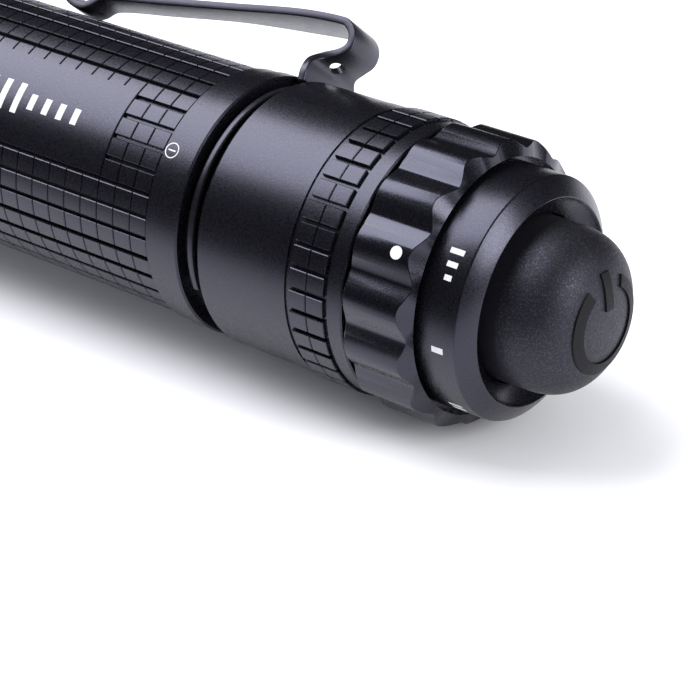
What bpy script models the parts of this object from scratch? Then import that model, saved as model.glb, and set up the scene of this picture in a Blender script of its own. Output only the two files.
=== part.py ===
"""Tactical flashlight with a spring clip, a rotary mode ring and a rubber tail button.

The light lies along X on a flat of its head, beam towards -X and tail towards +X.
Sizes are in millimetres, and MM turns them into the metres of the model. A station is a
distance along the beam axis from the rear shoulder of the body tube, positive towards
the tail, and an angle is measured round that axis from straight up towards +Y.
"""

import math

import bmesh
import bpy
from mathutils import Matrix, Vector

MM = 0.001

# Clearances
GAP = 0.3            # between neighbours that meet face to face
THREAD_FIT = 0.4     # radial room in a screwed joint
SLIDE_FIT = 0.3      # radial room round a piece that turns
BUTTON_FIT = 0.35    # radial room round the button in the collar
CLIP_FIT = 0.35      # radial room inside the clip's ring

CUT_PAST = 1.0       # how far a cutter runs past the piece that it cuts

# Facets round the turned pieces
SIDES = 40
SIDES_INNER = 24
SIDES_SMALL = 12

# Battery cell
CELL_LENGTH = 69.5
CELL_RADIUS = 9.2
CELL_REAR = 1.0
CELL_TIP_RADIUS = 4.2
CELL_TIP_HEIGHT = 1.1
CELL_INSULATOR_THICKNESS = 0.3
CELL_INSULATOR_INSET = 0.6

# Body tube
TUBE_WALL = 1.6
TUBE_FLANGE = 1.5
TUBE_WAIST_DROP = 0.4
REAR_RAMP = 1.5
FRONT_RAMP = 1.0
REAR_FLANGE_LENGTH = 3.0
FRONT_FLANGE_LENGTH = 2.0
REAR_THREAD_LENGTH = 9.0
FRONT_THREAD_LENGTH = 8.3
CELL_PROUD = 0.2
SEAL_SECTION = 0.5
SEAL_ROOM = 0.1
SEAL_GROOVE_DEPTH = 1.0
SEAL_GROOVE_WIDTH = 1.6
SEAL_FROM_SHOULDER = 3.0

# Head
HEAD_WALL = 1.3
FIN_DEPTH = 2.0
FIN_WIDTH = 1.6
FIN_SPACE = 1.4
FIN_COUNT = 3
HEAD_REAR_LENGTH = 3.7
HEAD_FLARE_LENGTH = 2.8
HEAD_REAR_STEP = 0.5
FLAT_COUNT = 6
FLAT_STEP = 0.2
CORNER_STEP = 0.8
FACET_BAND_LENGTH = 10.0
FACET_BAND_CHAMFER = 0.7
FLAT_CUTTER_PAST = 3.0
FLAT_CUTTER_HEIGHT = 10.0
HEAD_FRONT_LENGTH = 6.4
SHELF_THICKNESS = 4.0
SHELF_ROOM = 2.8
CAVITY_WALL = 1.9
DRIVER_LEDGE = 0.6
SHELF_PILOT = 1.0
MOUTH_WALL = 1.0

# Driver and light engine
BOARD_THICKNESS = 1.6
CONTACT_LENGTH = 1.5
CONTACT_RADIUS = 2.2
DRIVER_RING_WALL = 1.1
LED_BOARD_RADIUS = 8.0
LED_SIZE = 3.5
LED_HEIGHT = 0.9
CENTERING_LENGTH = 1.4
CENTERING_RADIUS = 6.0
REFLECTOR_LENGTH = 15.4
REFLECTOR_HOLE = 3.6
REFLECTOR_WALL = 0.7
REFLECTOR_COLLAR = 4.6
REFLECTOR_COLLAR_LENGTH = 1.5
REFLECTOR_RIM_LENGTH = 7.0
LEAD_RADIUS = 0.5
LEAD_HOLE_RADIUS = 0.9
LEAD_OFFSET = 4.6

# Bezel
LENS_THICKNESS = 2.0
LENS_SEAL_THICKNESS = 0.7
LENS_SEAL_WIDTH = 1.0
BEZEL_SKIRT_WALL = 1.0
BEZEL_SKIRT_LENGTH = 6.0
BEZEL_LIP = 3.1
BEZEL_LAND = 3.4
BEZEL_CHAMFER = 0.3
NOTCH_COUNT = 6
NOTCH_WIDTH = 5.0
NOTCH_DEPTH = 1.6
BEAD_COUNT = 3
BEAD_RADIUS = 1.05
BEAD_PROUD = 0.4

# Tail cap
GROOVE_WIDTH = 2.3
CAP_LENGTH = 17.44
CAP_WALL = 1.35
CAP_STEP = 0.1
CAP_CHAMFER = 0.6
BAND_LENGTH = 3.85
BAND_FROM_REAR = 1.89
BAND_HEIGHT = 0.25
MODULE_WALL = 2.1
WEB_THICKNESS = 1.5
WEB_INSET = 0.56
WEB_HOLE = 5.0
CORE_WALL = 1.8
CORE_THREAD_STEP = 0.7
CORE_SEAL_SECTION = 0.35
CORE_SEAL_ROOM = 0.15
CORE_SEAL_FROM_FRONT = 1.1
CORE_SEAL_FROM_STEP = 0.7
CORE_GROOVE_DEPTH = 0.8
CORE_GROOVE_WIDTH = 1.0

# Switch module
MODULE_RING_LENGTH = 1.0
MODULE_RING_WALL = 2.2
CONTACT_BOARD_THICKNESS = 1.2
SWITCH_FLOOR = 1.4
PLUNGER_RADIUS = 2.5
PLUNGER_CAP_RADIUS = 3.8
PLUNGER_CAP_LENGTH = 1.5
PLUNGER_ROOM = 2.5
SPRING_WIRE = 0.3
PLUNGER_SPRING_ROOM = 0.5
PLUNGER_SPRING_TURNS = 5
NEGATIVE_SPRING_WIRE = 0.4
NEGATIVE_SPRING_ROOM = 1.4
NEGATIVE_SPRING_TAPER = 2.0
NEGATIVE_SPRING_TURNS = 4

# Rubber button
BUTTON_RADIUS = 7.7
BUTTON_WALL = 1.7
BUTTON_FLANGE = 1.0
BUTTON_FLANGE_LENGTH = 1.4
BUTTON_SKIRT_LENGTH = 3.9
BUTTON_DOME_LENGTH = 6.0
BUTTON_BOSS_RADIUS = 2.4
BUTTON_BOSS_LENGTH = 4.7
BUTTON_FULLNESS = 2.6
BUTTON_BOSS_FILLET = 0.5
BUTTON_BOSS_SINK = 0.2

# Rotary ring
RING_GAP = 0.36
RING_LENGTH = 6.97
RING_WALL = 1.75
RING_FLUTE_DEPTH = 0.7
RING_FLUTES = 16
RING_RIDGE_ANGLE = -58.0
RING_CHAMFER_LENGTH = 1.07
RING_LIP_LENGTH = 1.27
RING_EDGE = 0.3
RING_TRIM = 0.05
RING_MOUTH_GAP = 0.54
RING_LAND_FULLNESS = 0.8
RING_FLUTE_STEPS = 6
MAGNET_SHIFT = 0.2
MAGNET_SIZE = 2.4
MAGNET_THICKNESS = 0.7
SENSOR_WIDTH = 2.6
SENSOR_THICKNESS = 0.5
DETENT_BALL_RADIUS = 0.5
DETENT_HOLE_RADIUS = 0.75
DETENT_HOLE_DEPTH = 4.4
DETENT_ANGLE = 120.0
DETENT_STEP = 36.5
DETENT_COUNT = 3
DETENT_WIRE = 0.1
DETENT_SPRING_ROOM = 0.2
DETENT_SPRING_TURNS = 5
DETENT_DIMPLE_DEPTH = 0.35
DETENT_EDGE = 0.15

# Tail collar
COLLAR_WALL = 1.0
COLLAR_FACE = 0.8
COLLAR_SIDE_LENGTH = 4.81
COLLAR_CHAMFER_LENGTH = 1.29
COLLAR_RIM = 1.8
COLLAR_INSET = 0.37
COLLAR_TAPER = 0.1
RECESS_DEPTH = 1.67

# Pocket clip
CLIP_ANGLE = 40.0
CLIP_ROOT_WIDTH = 8.0
CLIP_BEND_WIDTH = 4.9
CLIP_ARM_WIDTH = 3.4
CLIP_THICKNESS = 0.8
CLIP_RING_WALL = 0.7
CLIP_RING_WIDTH = 1.1
CLIP_RING_SWEEP = 300.0
CLIP_HOLE_RADIUS = 0.8
CLIP_BEND_HEIGHT = 4.7
CLIP_BEND_RADIUS = 2.0
CLIP_ARM_LENGTH = 27.0
CLIP_LIP_LENGTH = 5.0
CLIP_BEND_SHIFT = 0.2
# The clip's middle line: its rise as (past the root, over the ring, width), the run of its arm
# as (past the arm's end, over the press point), and its lip as the same past the lip.
CLIP_RISE = ((0.0, 1.0, 8.0), (0.45, 2.3, 6.6), (1.25, 3.5, 5.3))
CLIP_ARM = ((4.0, 2.05), (0.0, 1.4), (-2.6, 1.2))
CLIP_LIP = ((1.2, 0.3), (0.0, 0.0), (-1.6, 0.5), (-4.2, 2.2))
CLIP_SHOULDER = (5.5, -0.6)
CLIP_MIDDLE = (14.0, -0.15)

# Radii that follow from the sizes above
BORE = CELL_RADIUS + THREAD_FIT
THREAD = BORE + TUBE_WALL
FLANGE = THREAD + TUBE_FLANGE
WAIST = FLANGE - TUBE_WAIST_DROP
SOCKET = THREAD + THREAD_FIT
FIN_ROOT = SOCKET + HEAD_WALL
FIN_TIP = FIN_ROOT + FIN_DEPTH
FLAT_HEIGHT = FIN_TIP + FLAT_STEP
HEAD_CORNER = FLAT_HEIGHT + CORNER_STEP
CAVITY = FIN_TIP - CAVITY_WALL
MOUTH = FIN_TIP - MOUTH_WALL
SKIRT = MOUTH - GAP
SKIRT_BORE = SKIRT - BEZEL_SKIRT_WALL
LENS = SKIRT_BORE - GAP
LAND_OUTER = FIN_TIP - BEZEL_CHAMFER
LAND_INNER = LAND_OUTER - BEZEL_LAND
LAND_MIDDLE = (LAND_OUTER + LAND_INNER) / 2
CHAMBER = BUTTON_RADIUS + BUTTON_FLANGE + SLIDE_FIT
CORE = CHAMBER + CORE_WALL
CORE_THREAD = CORE - CORE_THREAD_STEP
RING_BORE = CORE + SLIDE_FIT
RING_VALLEY = RING_BORE + RING_WALL
RING_RIDGE = RING_VALLEY + RING_FLUTE_DEPTH
CAP = max(SOCKET + CAP_WALL, RING_VALLEY + CAP_STEP)
MODULE = SOCKET - MODULE_WALL
COLLAR_BORE = CORE_THREAD + THREAD_FIT
COLLAR = COLLAR_BORE + COLLAR_WALL
RING_MOUTH = COLLAR + RING_MOUTH_GAP
BUTTON_HOLE = BUTTON_RADIUS + BUTTON_FIT
DRIVER_BORE = SOCKET - DRIVER_LEDGE
DETENT_RADIUS = RING_BORE + DETENT_BALL_RADIUS + DETENT_EDGE
CLIP_RING = THREAD + CLIP_FIT
CLIP_RING_TOP = CLIP_RING + CLIP_RING_WALL

# Stations that follow from the sizes above
CELL_FRONT = CELL_REAR - CELL_LENGTH
TUBE_FRONT = CELL_FRONT + CELL_PROUD
TUBE_SHOULDER = TUBE_FRONT + FRONT_THREAD_LENGTH
HEAD_REAR = TUBE_SHOULDER - GAP
DRIVER_STEP = TUBE_FRONT - GAP
CONTACT_REAR = CELL_FRONT - GAP
DRIVER_REAR = CONTACT_REAR - CONTACT_LENGTH - GAP
DRIVER_FRONT = DRIVER_REAR - BOARD_THICKNESS
SHELF_REAR = DRIVER_FRONT - SHELF_ROOM
SHELF_FRONT = SHELF_REAR - SHELF_THICKNESS
LED_BOARD_REAR = SHELF_FRONT - GAP
LED_REAR = LED_BOARD_REAR - BOARD_THICKNESS - GAP
CENTERING_FRONT = LED_REAR - CENTERING_LENGTH
REFLECTOR_REAR = CENTERING_FRONT - GAP
REFLECTOR_FRONT = REFLECTOR_REAR - REFLECTOR_LENGTH
LENS_REAR = REFLECTOR_FRONT - GAP
LENS_FRONT = LENS_REAR - LENS_THICKNESS
LENS_SEAL_REAR = LENS_FRONT - GAP
LIP_REAR = LENS_SEAL_REAR - LENS_SEAL_THICKNESS - GAP
BEZEL_FRONT = LIP_REAR - BEZEL_LIP
BEZEL_REAR = REFLECTOR_FRONT
HEAD_FRONT = BEZEL_REAR + GAP
SKIRT_REAR = BEZEL_REAR + BEZEL_SKIRT_LENGTH
BEZEL_SEAL = SKIRT_REAR + GAP + SEAL_SECTION
MOUTH_REAR = BEZEL_SEAL + SEAL_SECTION + GAP
BAND_FRONT = HEAD_FRONT + HEAD_FRONT_LENGTH
BAND_REAR = BAND_FRONT + FACET_BAND_LENGTH
FRONT_END = BEZEL_FRONT - BEAD_PROUD
TUBE_REAR = REAR_THREAD_LENGTH
CAP_FRONT = GROOVE_WIDTH
CAP_REAR = CAP_FRONT + CAP_LENGTH
MODULE_FRONT = TUBE_REAR + GAP
MODULE_RING_REAR = MODULE_FRONT + GAP + MODULE_RING_LENGTH
CONTACT_BOARD_FRONT = MODULE_RING_REAR + GAP
SWITCH_FRONT = CONTACT_BOARD_FRONT + CONTACT_BOARD_THICKNESS + GAP
RING_FRONT = CAP_REAR + RING_GAP
RING_REAR = RING_FRONT + RING_LENGTH
WEB_FRONT = CAP_REAR + WEB_INSET
WEB_REAR = WEB_FRONT + WEB_THICKNESS
SWITCH_REAR = WEB_FRONT - GAP
RING_STEP = RING_REAR - RING_LIP_LENGTH
COLLAR_FRONT = RING_STEP + COLLAR_INSET
CORE_SHOULDER = COLLAR_FRONT - GAP
COLLAR_EDGE = COLLAR_FRONT + COLLAR_SIDE_LENGTH
COLLAR_REAR = COLLAR_EDGE + COLLAR_CHAMFER_LENGTH
RECESS_FLOOR = COLLAR_REAR - RECESS_DEPTH
COLLAR_SEAT = RECESS_FLOOR - COLLAR_FACE
FLANGE_REAR = COLLAR_SEAT - GAP
DOME_START = FLANGE_REAR + BUTTON_SKIRT_LENGTH
REAR_END = DOME_START + BUTTON_DOME_LENGTH
BOSS_TIP = REAR_END - BUTTON_WALL - BUTTON_BOSS_LENGTH
PLUNGER_REAR = BOSS_TIP - GAP
PLUNGER_CAP_FRONT = PLUNGER_REAR - PLUNGER_CAP_LENGTH
SWITCH_BORE_FLOOR = SWITCH_FRONT + SWITCH_FLOOR
PLUNGER_FRONT = SWITCH_BORE_FLOOR + PLUNGER_ROOM
BAND_TILE_REAR = CAP_REAR - BAND_FROM_REAR
BAND_TILE_FRONT = BAND_TILE_REAR - BAND_LENGTH
CORE_SEALS = (RING_FRONT + CORE_SEAL_FROM_FRONT, RING_STEP - CORE_SEAL_FROM_STEP)
SENSOR_MIDDLE = (CORE_SEALS[0] + CORE_SEALS[1]) / 2
SENSOR_LENGTH = CORE_SEALS[1] - CORE_SEALS[0] - 2 * (CORE_SEAL_SECTION + GAP)

# Colour (linear), roughness and metallic value of each finish
FINISHES = {
    "anodised_black": ((0.018, 0.019, 0.021), 0.42, 0.85),
    "anodised_ring": ((0.014, 0.015, 0.017), 0.34, 0.85),
    "spring_steel_black": ((0.020, 0.020, 0.022), 0.38, 0.80),
    "rubber_black": ((0.016, 0.016, 0.018), 0.85, 0.0),
    "seal_rubber": ((0.010, 0.010, 0.010), 0.60, 0.0),
    "lens_glass": ((0.80, 0.88, 0.90), 0.03, 0.0),
    "mirror_aluminium": ((0.90, 0.90, 0.90), 0.08, 1.0),
    "brass": ((0.75, 0.52, 0.22), 0.30, 1.0),
    "spring_steel": ((0.60, 0.60, 0.58), 0.28, 1.0),
    "circuit_board": ((0.020, 0.110, 0.050), 0.45, 0.0),
    "board_white": ((0.80, 0.80, 0.78), 0.45, 0.0),
    "led_yellow": ((0.85, 0.72, 0.12), 0.35, 0.0),
    "white_plastic": ((0.78, 0.78, 0.76), 0.50, 0.0),
    "dark_plastic": ((0.030, 0.030, 0.032), 0.50, 0.0),
    "cell_wrap": ((0.030, 0.120, 0.240), 0.35, 0.0),
    "ceramic_white": ((0.82, 0.82, 0.80), 0.20, 0.0),
    "magnet_nickel": ((0.70, 0.70, 0.68), 0.22, 1.0),
    "wire_red": ((0.45, 0.020, 0.020), 0.45, 0.0),
    "wire_black": ((0.020, 0.020, 0.020), 0.45, 0.0),
}


def clear_scene():
    for old in list(bpy.data.objects):
        bpy.data.objects.remove(old, do_unlink=True)


def finish_material(finish):
    """One Principled material for each finish, shared by the pieces that have it."""
    material = bpy.data.materials.get(finish)
    if material:
        return material
    colour, roughness, metallic = FINISHES[finish]
    material = bpy.data.materials.new(finish)
    material.use_nodes = True
    shader = material.node_tree.nodes["Principled BSDF"]
    shader.inputs["Base Color"].default_value = (*colour, 1.0)
    shader.inputs["Roughness"].default_value = roughness
    shader.inputs["Metallic"].default_value = metallic
    return material


def add_object(name, mesh, finish):
    """Puts a mesh or curve on the beam axis as a named piece."""
    piece = bpy.data.objects.new(name, mesh)
    bpy.context.collection.objects.link(piece)
    piece.parent = beam_axis
    if finish:
        mesh.materials.append(finish_material(finish))
    return piece


def mesh_from(bm, name, smooth_angle=35.0):
    """Closes a bmesh into a mesh in metres, smooth but for its hard edges."""
    bmesh.ops.remove_doubles(bm, verts=bm.verts, dist=1e-4)
    bmesh.ops.recalc_face_normals(bm, faces=bm.faces)
    bmesh.ops.scale(bm, vec=(MM, MM, MM), verts=bm.verts)
    mesh = bpy.data.meshes.new(name)
    bm.to_mesh(mesh)
    bm.free()
    mesh.shade_smooth()
    mesh.set_sharp_from_angle(angle=math.radians(smooth_angle))
    return mesh


def outline_edges(bm, points, closed):
    corners = [bm.verts.new((station, 0.0, radius)) for station, radius in points]
    edges = [bm.edges.new(pair) for pair in zip(corners, corners[1:])]
    if closed:
        edges.append(bm.edges.new((corners[-1], corners[0])))
    return corners, edges


def spun_mesh(name, outline, sides):
    """Turns an outline of (station, radius) points about the beam axis.

    An outline that starts and ends on the axis is left open there, and any other is a ring.
    """
    bm = bmesh.new()
    on_axis = outline[0][1] == 0.0 and outline[-1][1] == 0.0
    corners, edges = outline_edges(bm, outline, closed=not on_axis)
    bmesh.ops.spin(bm, geom=corners + edges, axis=(1, 0, 0), cent=(0, 0, 0),
                   angle=math.tau, steps=sides, use_merge=True)
    return mesh_from(bm, name)


def turned(name, outline, finish, sides=SIDES):
    return add_object(name, spun_mesh(name, outline, sides), finish)


def disc(front, rear, radius):
    return [(front, 0.0), (front, radius), (rear, radius), (rear, 0.0)]


def washer(front, rear, inner, outer):
    return [(front, inner), (front, outer), (rear, outer), (rear, inner)]


def arc(centre, radius, start, end, steps):
    """Points of a circular arc in the outline plane, angles in degrees from +station."""
    points = []
    for step in range(steps + 1):
        turn = math.radians(start + (end - start) * step / steps)
        points.append((centre[0] + radius * math.cos(turn), centre[1] + radius * math.sin(turn)))
    return points


def seal(name, station, radius, section, sides=SIDES_INNER):
    """An O-ring of round section, radius to the middle of its section."""
    return turned(name, arc((station, radius), section, 0.0, 300.0, 5), "seal_rubber", sides)


def around(angle):
    """Turns a piece made at the top of the beam axis to its angle round it."""
    return Matrix.Rotation(-math.radians(angle), 4, "X")


def box_mesh(name, low, high, angle=0.0):
    bm = bmesh.new()
    bmesh.ops.create_cube(bm, size=1.0)
    size = [high[i] - low[i] for i in range(3)]
    middle = [(high[i] + low[i]) / 2 for i in range(3)]
    bmesh.ops.scale(bm, vec=size, verts=bm.verts)
    bmesh.ops.translate(bm, vec=middle, verts=bm.verts)
    bmesh.ops.transform(bm, matrix=around(angle), verts=bm.verts)
    return mesh_from(bm, name)


def rod_mesh(name, front, rear, centre_radius, angle, radius, sides):
    """A rod parallel to the beam axis, off it by centre_radius at the given angle."""
    bm = bmesh.new()
    corners, edges = outline_edges(bm, disc(front, rear, radius), closed=False)
    bmesh.ops.spin(bm, geom=corners + edges, axis=(1, 0, 0), cent=(0, 0, 0),
                   angle=math.tau, steps=sides, use_merge=True)
    bmesh.ops.translate(bm, vec=(0.0, 0.0, centre_radius), verts=bm.verts)
    bmesh.ops.transform(bm, matrix=around(angle), verts=bm.verts)
    return mesh_from(bm, name)


def shape_with(piece, mesh, operation):
    """Cuts, trims or joins a piece with a guide mesh, by a Boolean that stays live."""
    guide = add_object(mesh.name, mesh, None)
    guide.hide_render = True
    guide.display_type = "WIRE"
    boolean = piece.modifiers.new(mesh.name, "BOOLEAN")
    boolean.operation = operation
    boolean.solver = "EXACT"
    boolean.object = guide


def coil(name, front, rear, front_radius, rear_radius, turns, wire, finish, points=12):
    """A compression spring round the beam axis, its radius to the middle of the wire."""
    curve = bpy.data.curves.new(name, "CURVE")
    curve.dimensions = "3D"
    curve.bevel_depth = wire * MM
    curve.bevel_resolution = 0
    curve.use_fill_caps = True
    count = turns * points + 1
    spline = curve.splines.new("POLY")
    spline.points.add(count - 1)
    for index, point in enumerate(spline.points):
        share = index / (count - 1)
        turn = share * turns * math.tau
        radius = front_radius + (rear_radius - front_radius) * share
        station = front + wire + (rear - front - 2 * wire) * share
        point.co = (station * MM, radius * math.sin(turn) * MM, radius * math.cos(turn) * MM, 1.0)
    return add_object(name, curve, finish)


def make_bezel():
    bezel = turned("bezel_ring", [
        (BEZEL_FRONT, LAND_INNER),
        (BEZEL_FRONT, LAND_OUTER),
        (BEZEL_FRONT + BEZEL_CHAMFER, FIN_TIP),
        (BEZEL_REAR, FIN_TIP),
        (BEZEL_REAR, SKIRT),
        (SKIRT_REAR, SKIRT),
        (SKIRT_REAR, SKIRT_BORE),
        (LIP_REAR, SKIRT_BORE),
        (LIP_REAR, LAND_INNER),
    ], "anodised_black")
    for index in range(NOTCH_COUNT):
        notch = box_mesh(f"notch_cutter_{index + 1}",
                         (BEZEL_FRONT - CUT_PAST, -NOTCH_WIDTH / 2, LAND_INNER - CUT_PAST),
                         (BEZEL_FRONT + NOTCH_DEPTH, NOTCH_WIDTH / 2, FIN_TIP + CUT_PAST),
                         (index + 0.5) * 360.0 / NOTCH_COUNT)
        shape_with(bezel, notch, "DIFFERENCE")
    for index in range(BEAD_COUNT):
        angle = index * 360.0 / BEAD_COUNT
        bead_centre = FRONT_END + BEAD_RADIUS
        pocket = rod_mesh(f"bead_pocket_cutter_{index + 1}", BEZEL_FRONT - CUT_PAST,
                          bead_centre + BEAD_RADIUS + GAP, LAND_MIDDLE, angle,
                          BEAD_RADIUS + GAP, SIDES_SMALL)
        shape_with(bezel, pocket, "DIFFERENCE")
        bm = bmesh.new()
        bmesh.ops.create_uvsphere(bm, u_segments=12, v_segments=8, radius=BEAD_RADIUS)
        bmesh.ops.rotate(bm, matrix=Matrix.Rotation(math.radians(90.0), 3, "Y"), verts=bm.verts)
        bmesh.ops.translate(bm, vec=(bead_centre, 0.0, LAND_MIDDLE), verts=bm.verts)
        bmesh.ops.transform(bm, matrix=around(angle), verts=bm.verts)
        name = f"glass_breaker_bead_{index + 1}"
        add_object(name, mesh_from(bm, name, 90.0), "ceramic_white")
    seal("bezel_seal", BEZEL_SEAL, (SKIRT + SKIRT_BORE) / 2, SEAL_SECTION)


def make_optics():
    turned("lens", disc(LENS_FRONT, LENS_REAR, LENS), "lens_glass")
    turned("lens_seal", washer(LENS_SEAL_REAR - LENS_SEAL_THICKNESS, LENS_SEAL_REAR,
                               LENS - LENS_SEAL_WIDTH, LENS), "seal_rubber")
    mouth = LENS - REFLECTOR_WALL
    growth = (mouth ** 2 - REFLECTOR_HOLE ** 2) / REFLECTOR_LENGTH
    bowl = []
    for step in range(7):
        depth = REFLECTOR_LENGTH * step / 6
        bowl.append((REFLECTOR_REAR - depth, math.sqrt(REFLECTOR_HOLE ** 2 + growth * depth)))
    turned("reflector", bowl + [
        (REFLECTOR_FRONT, LENS),
        (REFLECTOR_FRONT + REFLECTOR_RIM_LENGTH, LENS),
        (REFLECTOR_REAR - REFLECTOR_COLLAR_LENGTH, REFLECTOR_HOLE + REFLECTOR_COLLAR),
        (REFLECTOR_REAR, REFLECTOR_HOLE + REFLECTOR_COLLAR),
    ], "mirror_aluminium", SIDES_INNER)
    half = LED_SIZE / 2
    add_object("led_emitter", box_mesh("led_emitter", (LED_REAR - LED_HEIGHT, -half, -half),
                                       (LED_REAR, half, half)), "led_yellow")
    turned("led_centering_ring", washer(CENTERING_FRONT, LED_REAR, half * math.sqrt(2) + GAP,
                                        CENTERING_RADIUS), "white_plastic", SIDES_INNER)
    turned("led_board", disc(LED_BOARD_REAR - BOARD_THICKNESS, LED_BOARD_REAR, LED_BOARD_RADIUS),
           "board_white", SIDES_INNER)


def head_outline():
    """Outside of the head from its rear face to its mouth: flare, fins and facet band."""
    flare_start = HEAD_REAR - HEAD_REAR_LENGTH
    swell = FLANGE + HEAD_REAR_STEP
    points = [(HEAD_REAR, FLANGE), (HEAD_REAR - HEAD_REAR_STEP, swell), (flare_start, swell)]
    station = flare_start - HEAD_FLARE_LENGTH
    for _ in range(FIN_COUNT):
        points += [(station, FIN_TIP), (station - FIN_WIDTH, FIN_TIP)]
        station -= FIN_WIDTH
        points += [(station, FIN_ROOT), (station - FIN_SPACE, FIN_ROOT)]
        station -= FIN_SPACE
    points += [
        (station, FIN_TIP),
        (BAND_REAR + FACET_BAND_CHAMFER, FIN_TIP),
        (BAND_REAR, HEAD_CORNER),
        (BAND_FRONT, HEAD_CORNER),
        (BAND_FRONT - FACET_BAND_CHAMFER, FIN_TIP),
        (HEAD_FRONT, FIN_TIP),
    ]
    return points


def make_head():
    head = turned("head_housing", head_outline() + [
        (HEAD_FRONT, MOUTH),
        (MOUTH_REAR, MOUTH),
        (MOUTH_REAR, CAVITY),
        (SHELF_FRONT, CAVITY),
        (SHELF_FRONT, SHELF_PILOT),
        (SHELF_REAR, SHELF_PILOT),
        (SHELF_REAR, DRIVER_BORE),
        (DRIVER_STEP, DRIVER_BORE),
        (DRIVER_STEP, SOCKET),
        (HEAD_REAR, SOCKET),
    ], "anodised_black")
    for index in range(FLAT_COUNT):
        flat = box_mesh(f"flat_cutter_{index + 1}",
                        (BAND_FRONT - FLAT_CUTTER_PAST, -HEAD_CORNER, FLAT_HEIGHT),
                        (BAND_REAR + FLAT_CUTTER_PAST, HEAD_CORNER,
                         FLAT_HEIGHT + FLAT_CUTTER_HEIGHT),
                        index * 360.0 / FLAT_COUNT)
        shape_with(head, flat, "DIFFERENCE")
    for side, angle in (("positive", 90.0), ("negative", -90.0)):
        hole = rod_mesh(f"lead_hole_cutter_{side}", SHELF_FRONT - CUT_PAST, SHELF_REAR + CUT_PAST,
                        LEAD_OFFSET, angle, LEAD_HOLE_RADIUS, SIDES_SMALL)
        shape_with(head, hole, "DIFFERENCE")
        lead = rod_mesh(f"led_lead_{side}", SHELF_FRONT, DRIVER_FRONT - GAP,
                        LEAD_OFFSET, angle, LEAD_RADIUS, 8)
        add_object(lead.name, lead, "wire_red" if side == "positive" else "wire_black")
    board_radius = DRIVER_BORE - GAP
    turned("driver_board", disc(DRIVER_FRONT, DRIVER_REAR, board_radius), "circuit_board",
           SIDES_INNER)
    turned("driver_retaining_ring", washer(DRIVER_REAR + GAP, DRIVER_STEP - GAP,
                                           board_radius - DRIVER_RING_WALL, board_radius), "brass")
    turned("positive_contact", disc(DRIVER_REAR + GAP, CONTACT_REAR, CONTACT_RADIUS), "brass",
           SIDES_SMALL)


def groove(station, depth_radius, surface_radius, width, direction):
    """Four points of a seal groove cut into an outline that runs along direction."""
    half = direction * width / 2
    return [(station - half, surface_radius), (station - half, depth_radius),
            (station + half, depth_radius), (station + half, surface_radius)]


def make_tube():
    floor = THREAD - SEAL_GROOVE_DEPTH
    front_seal = TUBE_SHOULDER - SEAL_FROM_SHOULDER
    rear_seal = GROOVE_WIDTH + SEAL_FROM_SHOULDER
    outline = [
        (0.0, FLANGE),
        (-REAR_FLANGE_LENGTH, FLANGE),
        (-REAR_FLANGE_LENGTH - REAR_RAMP, WAIST),
        (TUBE_SHOULDER + FRONT_FLANGE_LENGTH + FRONT_RAMP, WAIST),
        (TUBE_SHOULDER + FRONT_FLANGE_LENGTH, FLANGE),
        (TUBE_SHOULDER, FLANGE),
        (TUBE_SHOULDER, THREAD),
    ]
    outline += groove(front_seal, floor, THREAD, SEAL_GROOVE_WIDTH, -1)
    outline += [(TUBE_FRONT, THREAD), (TUBE_FRONT, BORE), (TUBE_REAR, BORE), (TUBE_REAR, THREAD)]
    outline += groove(rear_seal, floor, THREAD, SEAL_GROOVE_WIDTH, -1)
    outline += [(0.0, THREAD)]
    turned("body_tube", outline, "anodised_black")
    seal_radius = floor + SEAL_SECTION + SEAL_ROOM
    seal("tube_front_seal", front_seal, seal_radius, SEAL_SECTION)
    seal("tube_rear_seal", rear_seal, seal_radius, SEAL_SECTION)


def make_battery():
    shoulder = CELL_FRONT + CELL_TIP_HEIGHT + GAP
    turned("battery_cell", disc(shoulder, CELL_REAR, CELL_RADIUS), "cell_wrap", SIDES_INNER)
    turned("battery_tip", disc(CELL_FRONT, shoulder - GAP, CELL_TIP_RADIUS), "spring_steel",
           SIDES_INNER)
    insulator_rear = shoulder - GAP
    turned("battery_insulator", washer(insulator_rear - CELL_INSULATOR_THICKNESS, insulator_rear,
                                       CELL_TIP_RADIUS + GAP,
                                       CELL_RADIUS - CELL_INSULATOR_INSET), "white_plastic",
           SIDES_INNER)


def clip_line():
    """Middle line of the clip strip as (station, height above the beam axis, width).

    It rises from its ring, turns over the tail cap and runs forward to the lip that
    presses on the tube and flares out again.
    """
    root = GROOVE_WIDTH / 2
    bend = (root - CLIP_BEND_SHIFT, CLIP_RING_TOP + CLIP_BEND_HEIGHT)
    press = WAIST + GAP + CLIP_THICKNESS / 2
    arm_end = root - CLIP_ARM_LENGTH
    lip = arm_end - CLIP_LIP_LENGTH
    line = [(root, CLIP_RING_TOP - CLIP_RING_WALL / 2, CLIP_ROOT_WIDTH)]
    line += [(root + past, CLIP_RING_TOP + height, width) for past, height, width in CLIP_RISE]
    line += [(*point, CLIP_BEND_WIDTH) for point in arc(bend, CLIP_BEND_RADIUS, -15.0, 97.0, 7)]
    line += [
        (root - CLIP_SHOULDER[0], bend[1] + CLIP_BEND_RADIUS + CLIP_SHOULDER[1], CLIP_BEND_WIDTH),
        (root - CLIP_MIDDLE[0], bend[1] + CLIP_MIDDLE[1], CLIP_ARM_WIDTH),
    ]
    line += [(arm_end + past, press + height, CLIP_ARM_WIDTH) for past, height in CLIP_ARM]
    return line + [(lip + past, press + height, CLIP_ARM_WIDTH) for past, height in CLIP_LIP]


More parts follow.
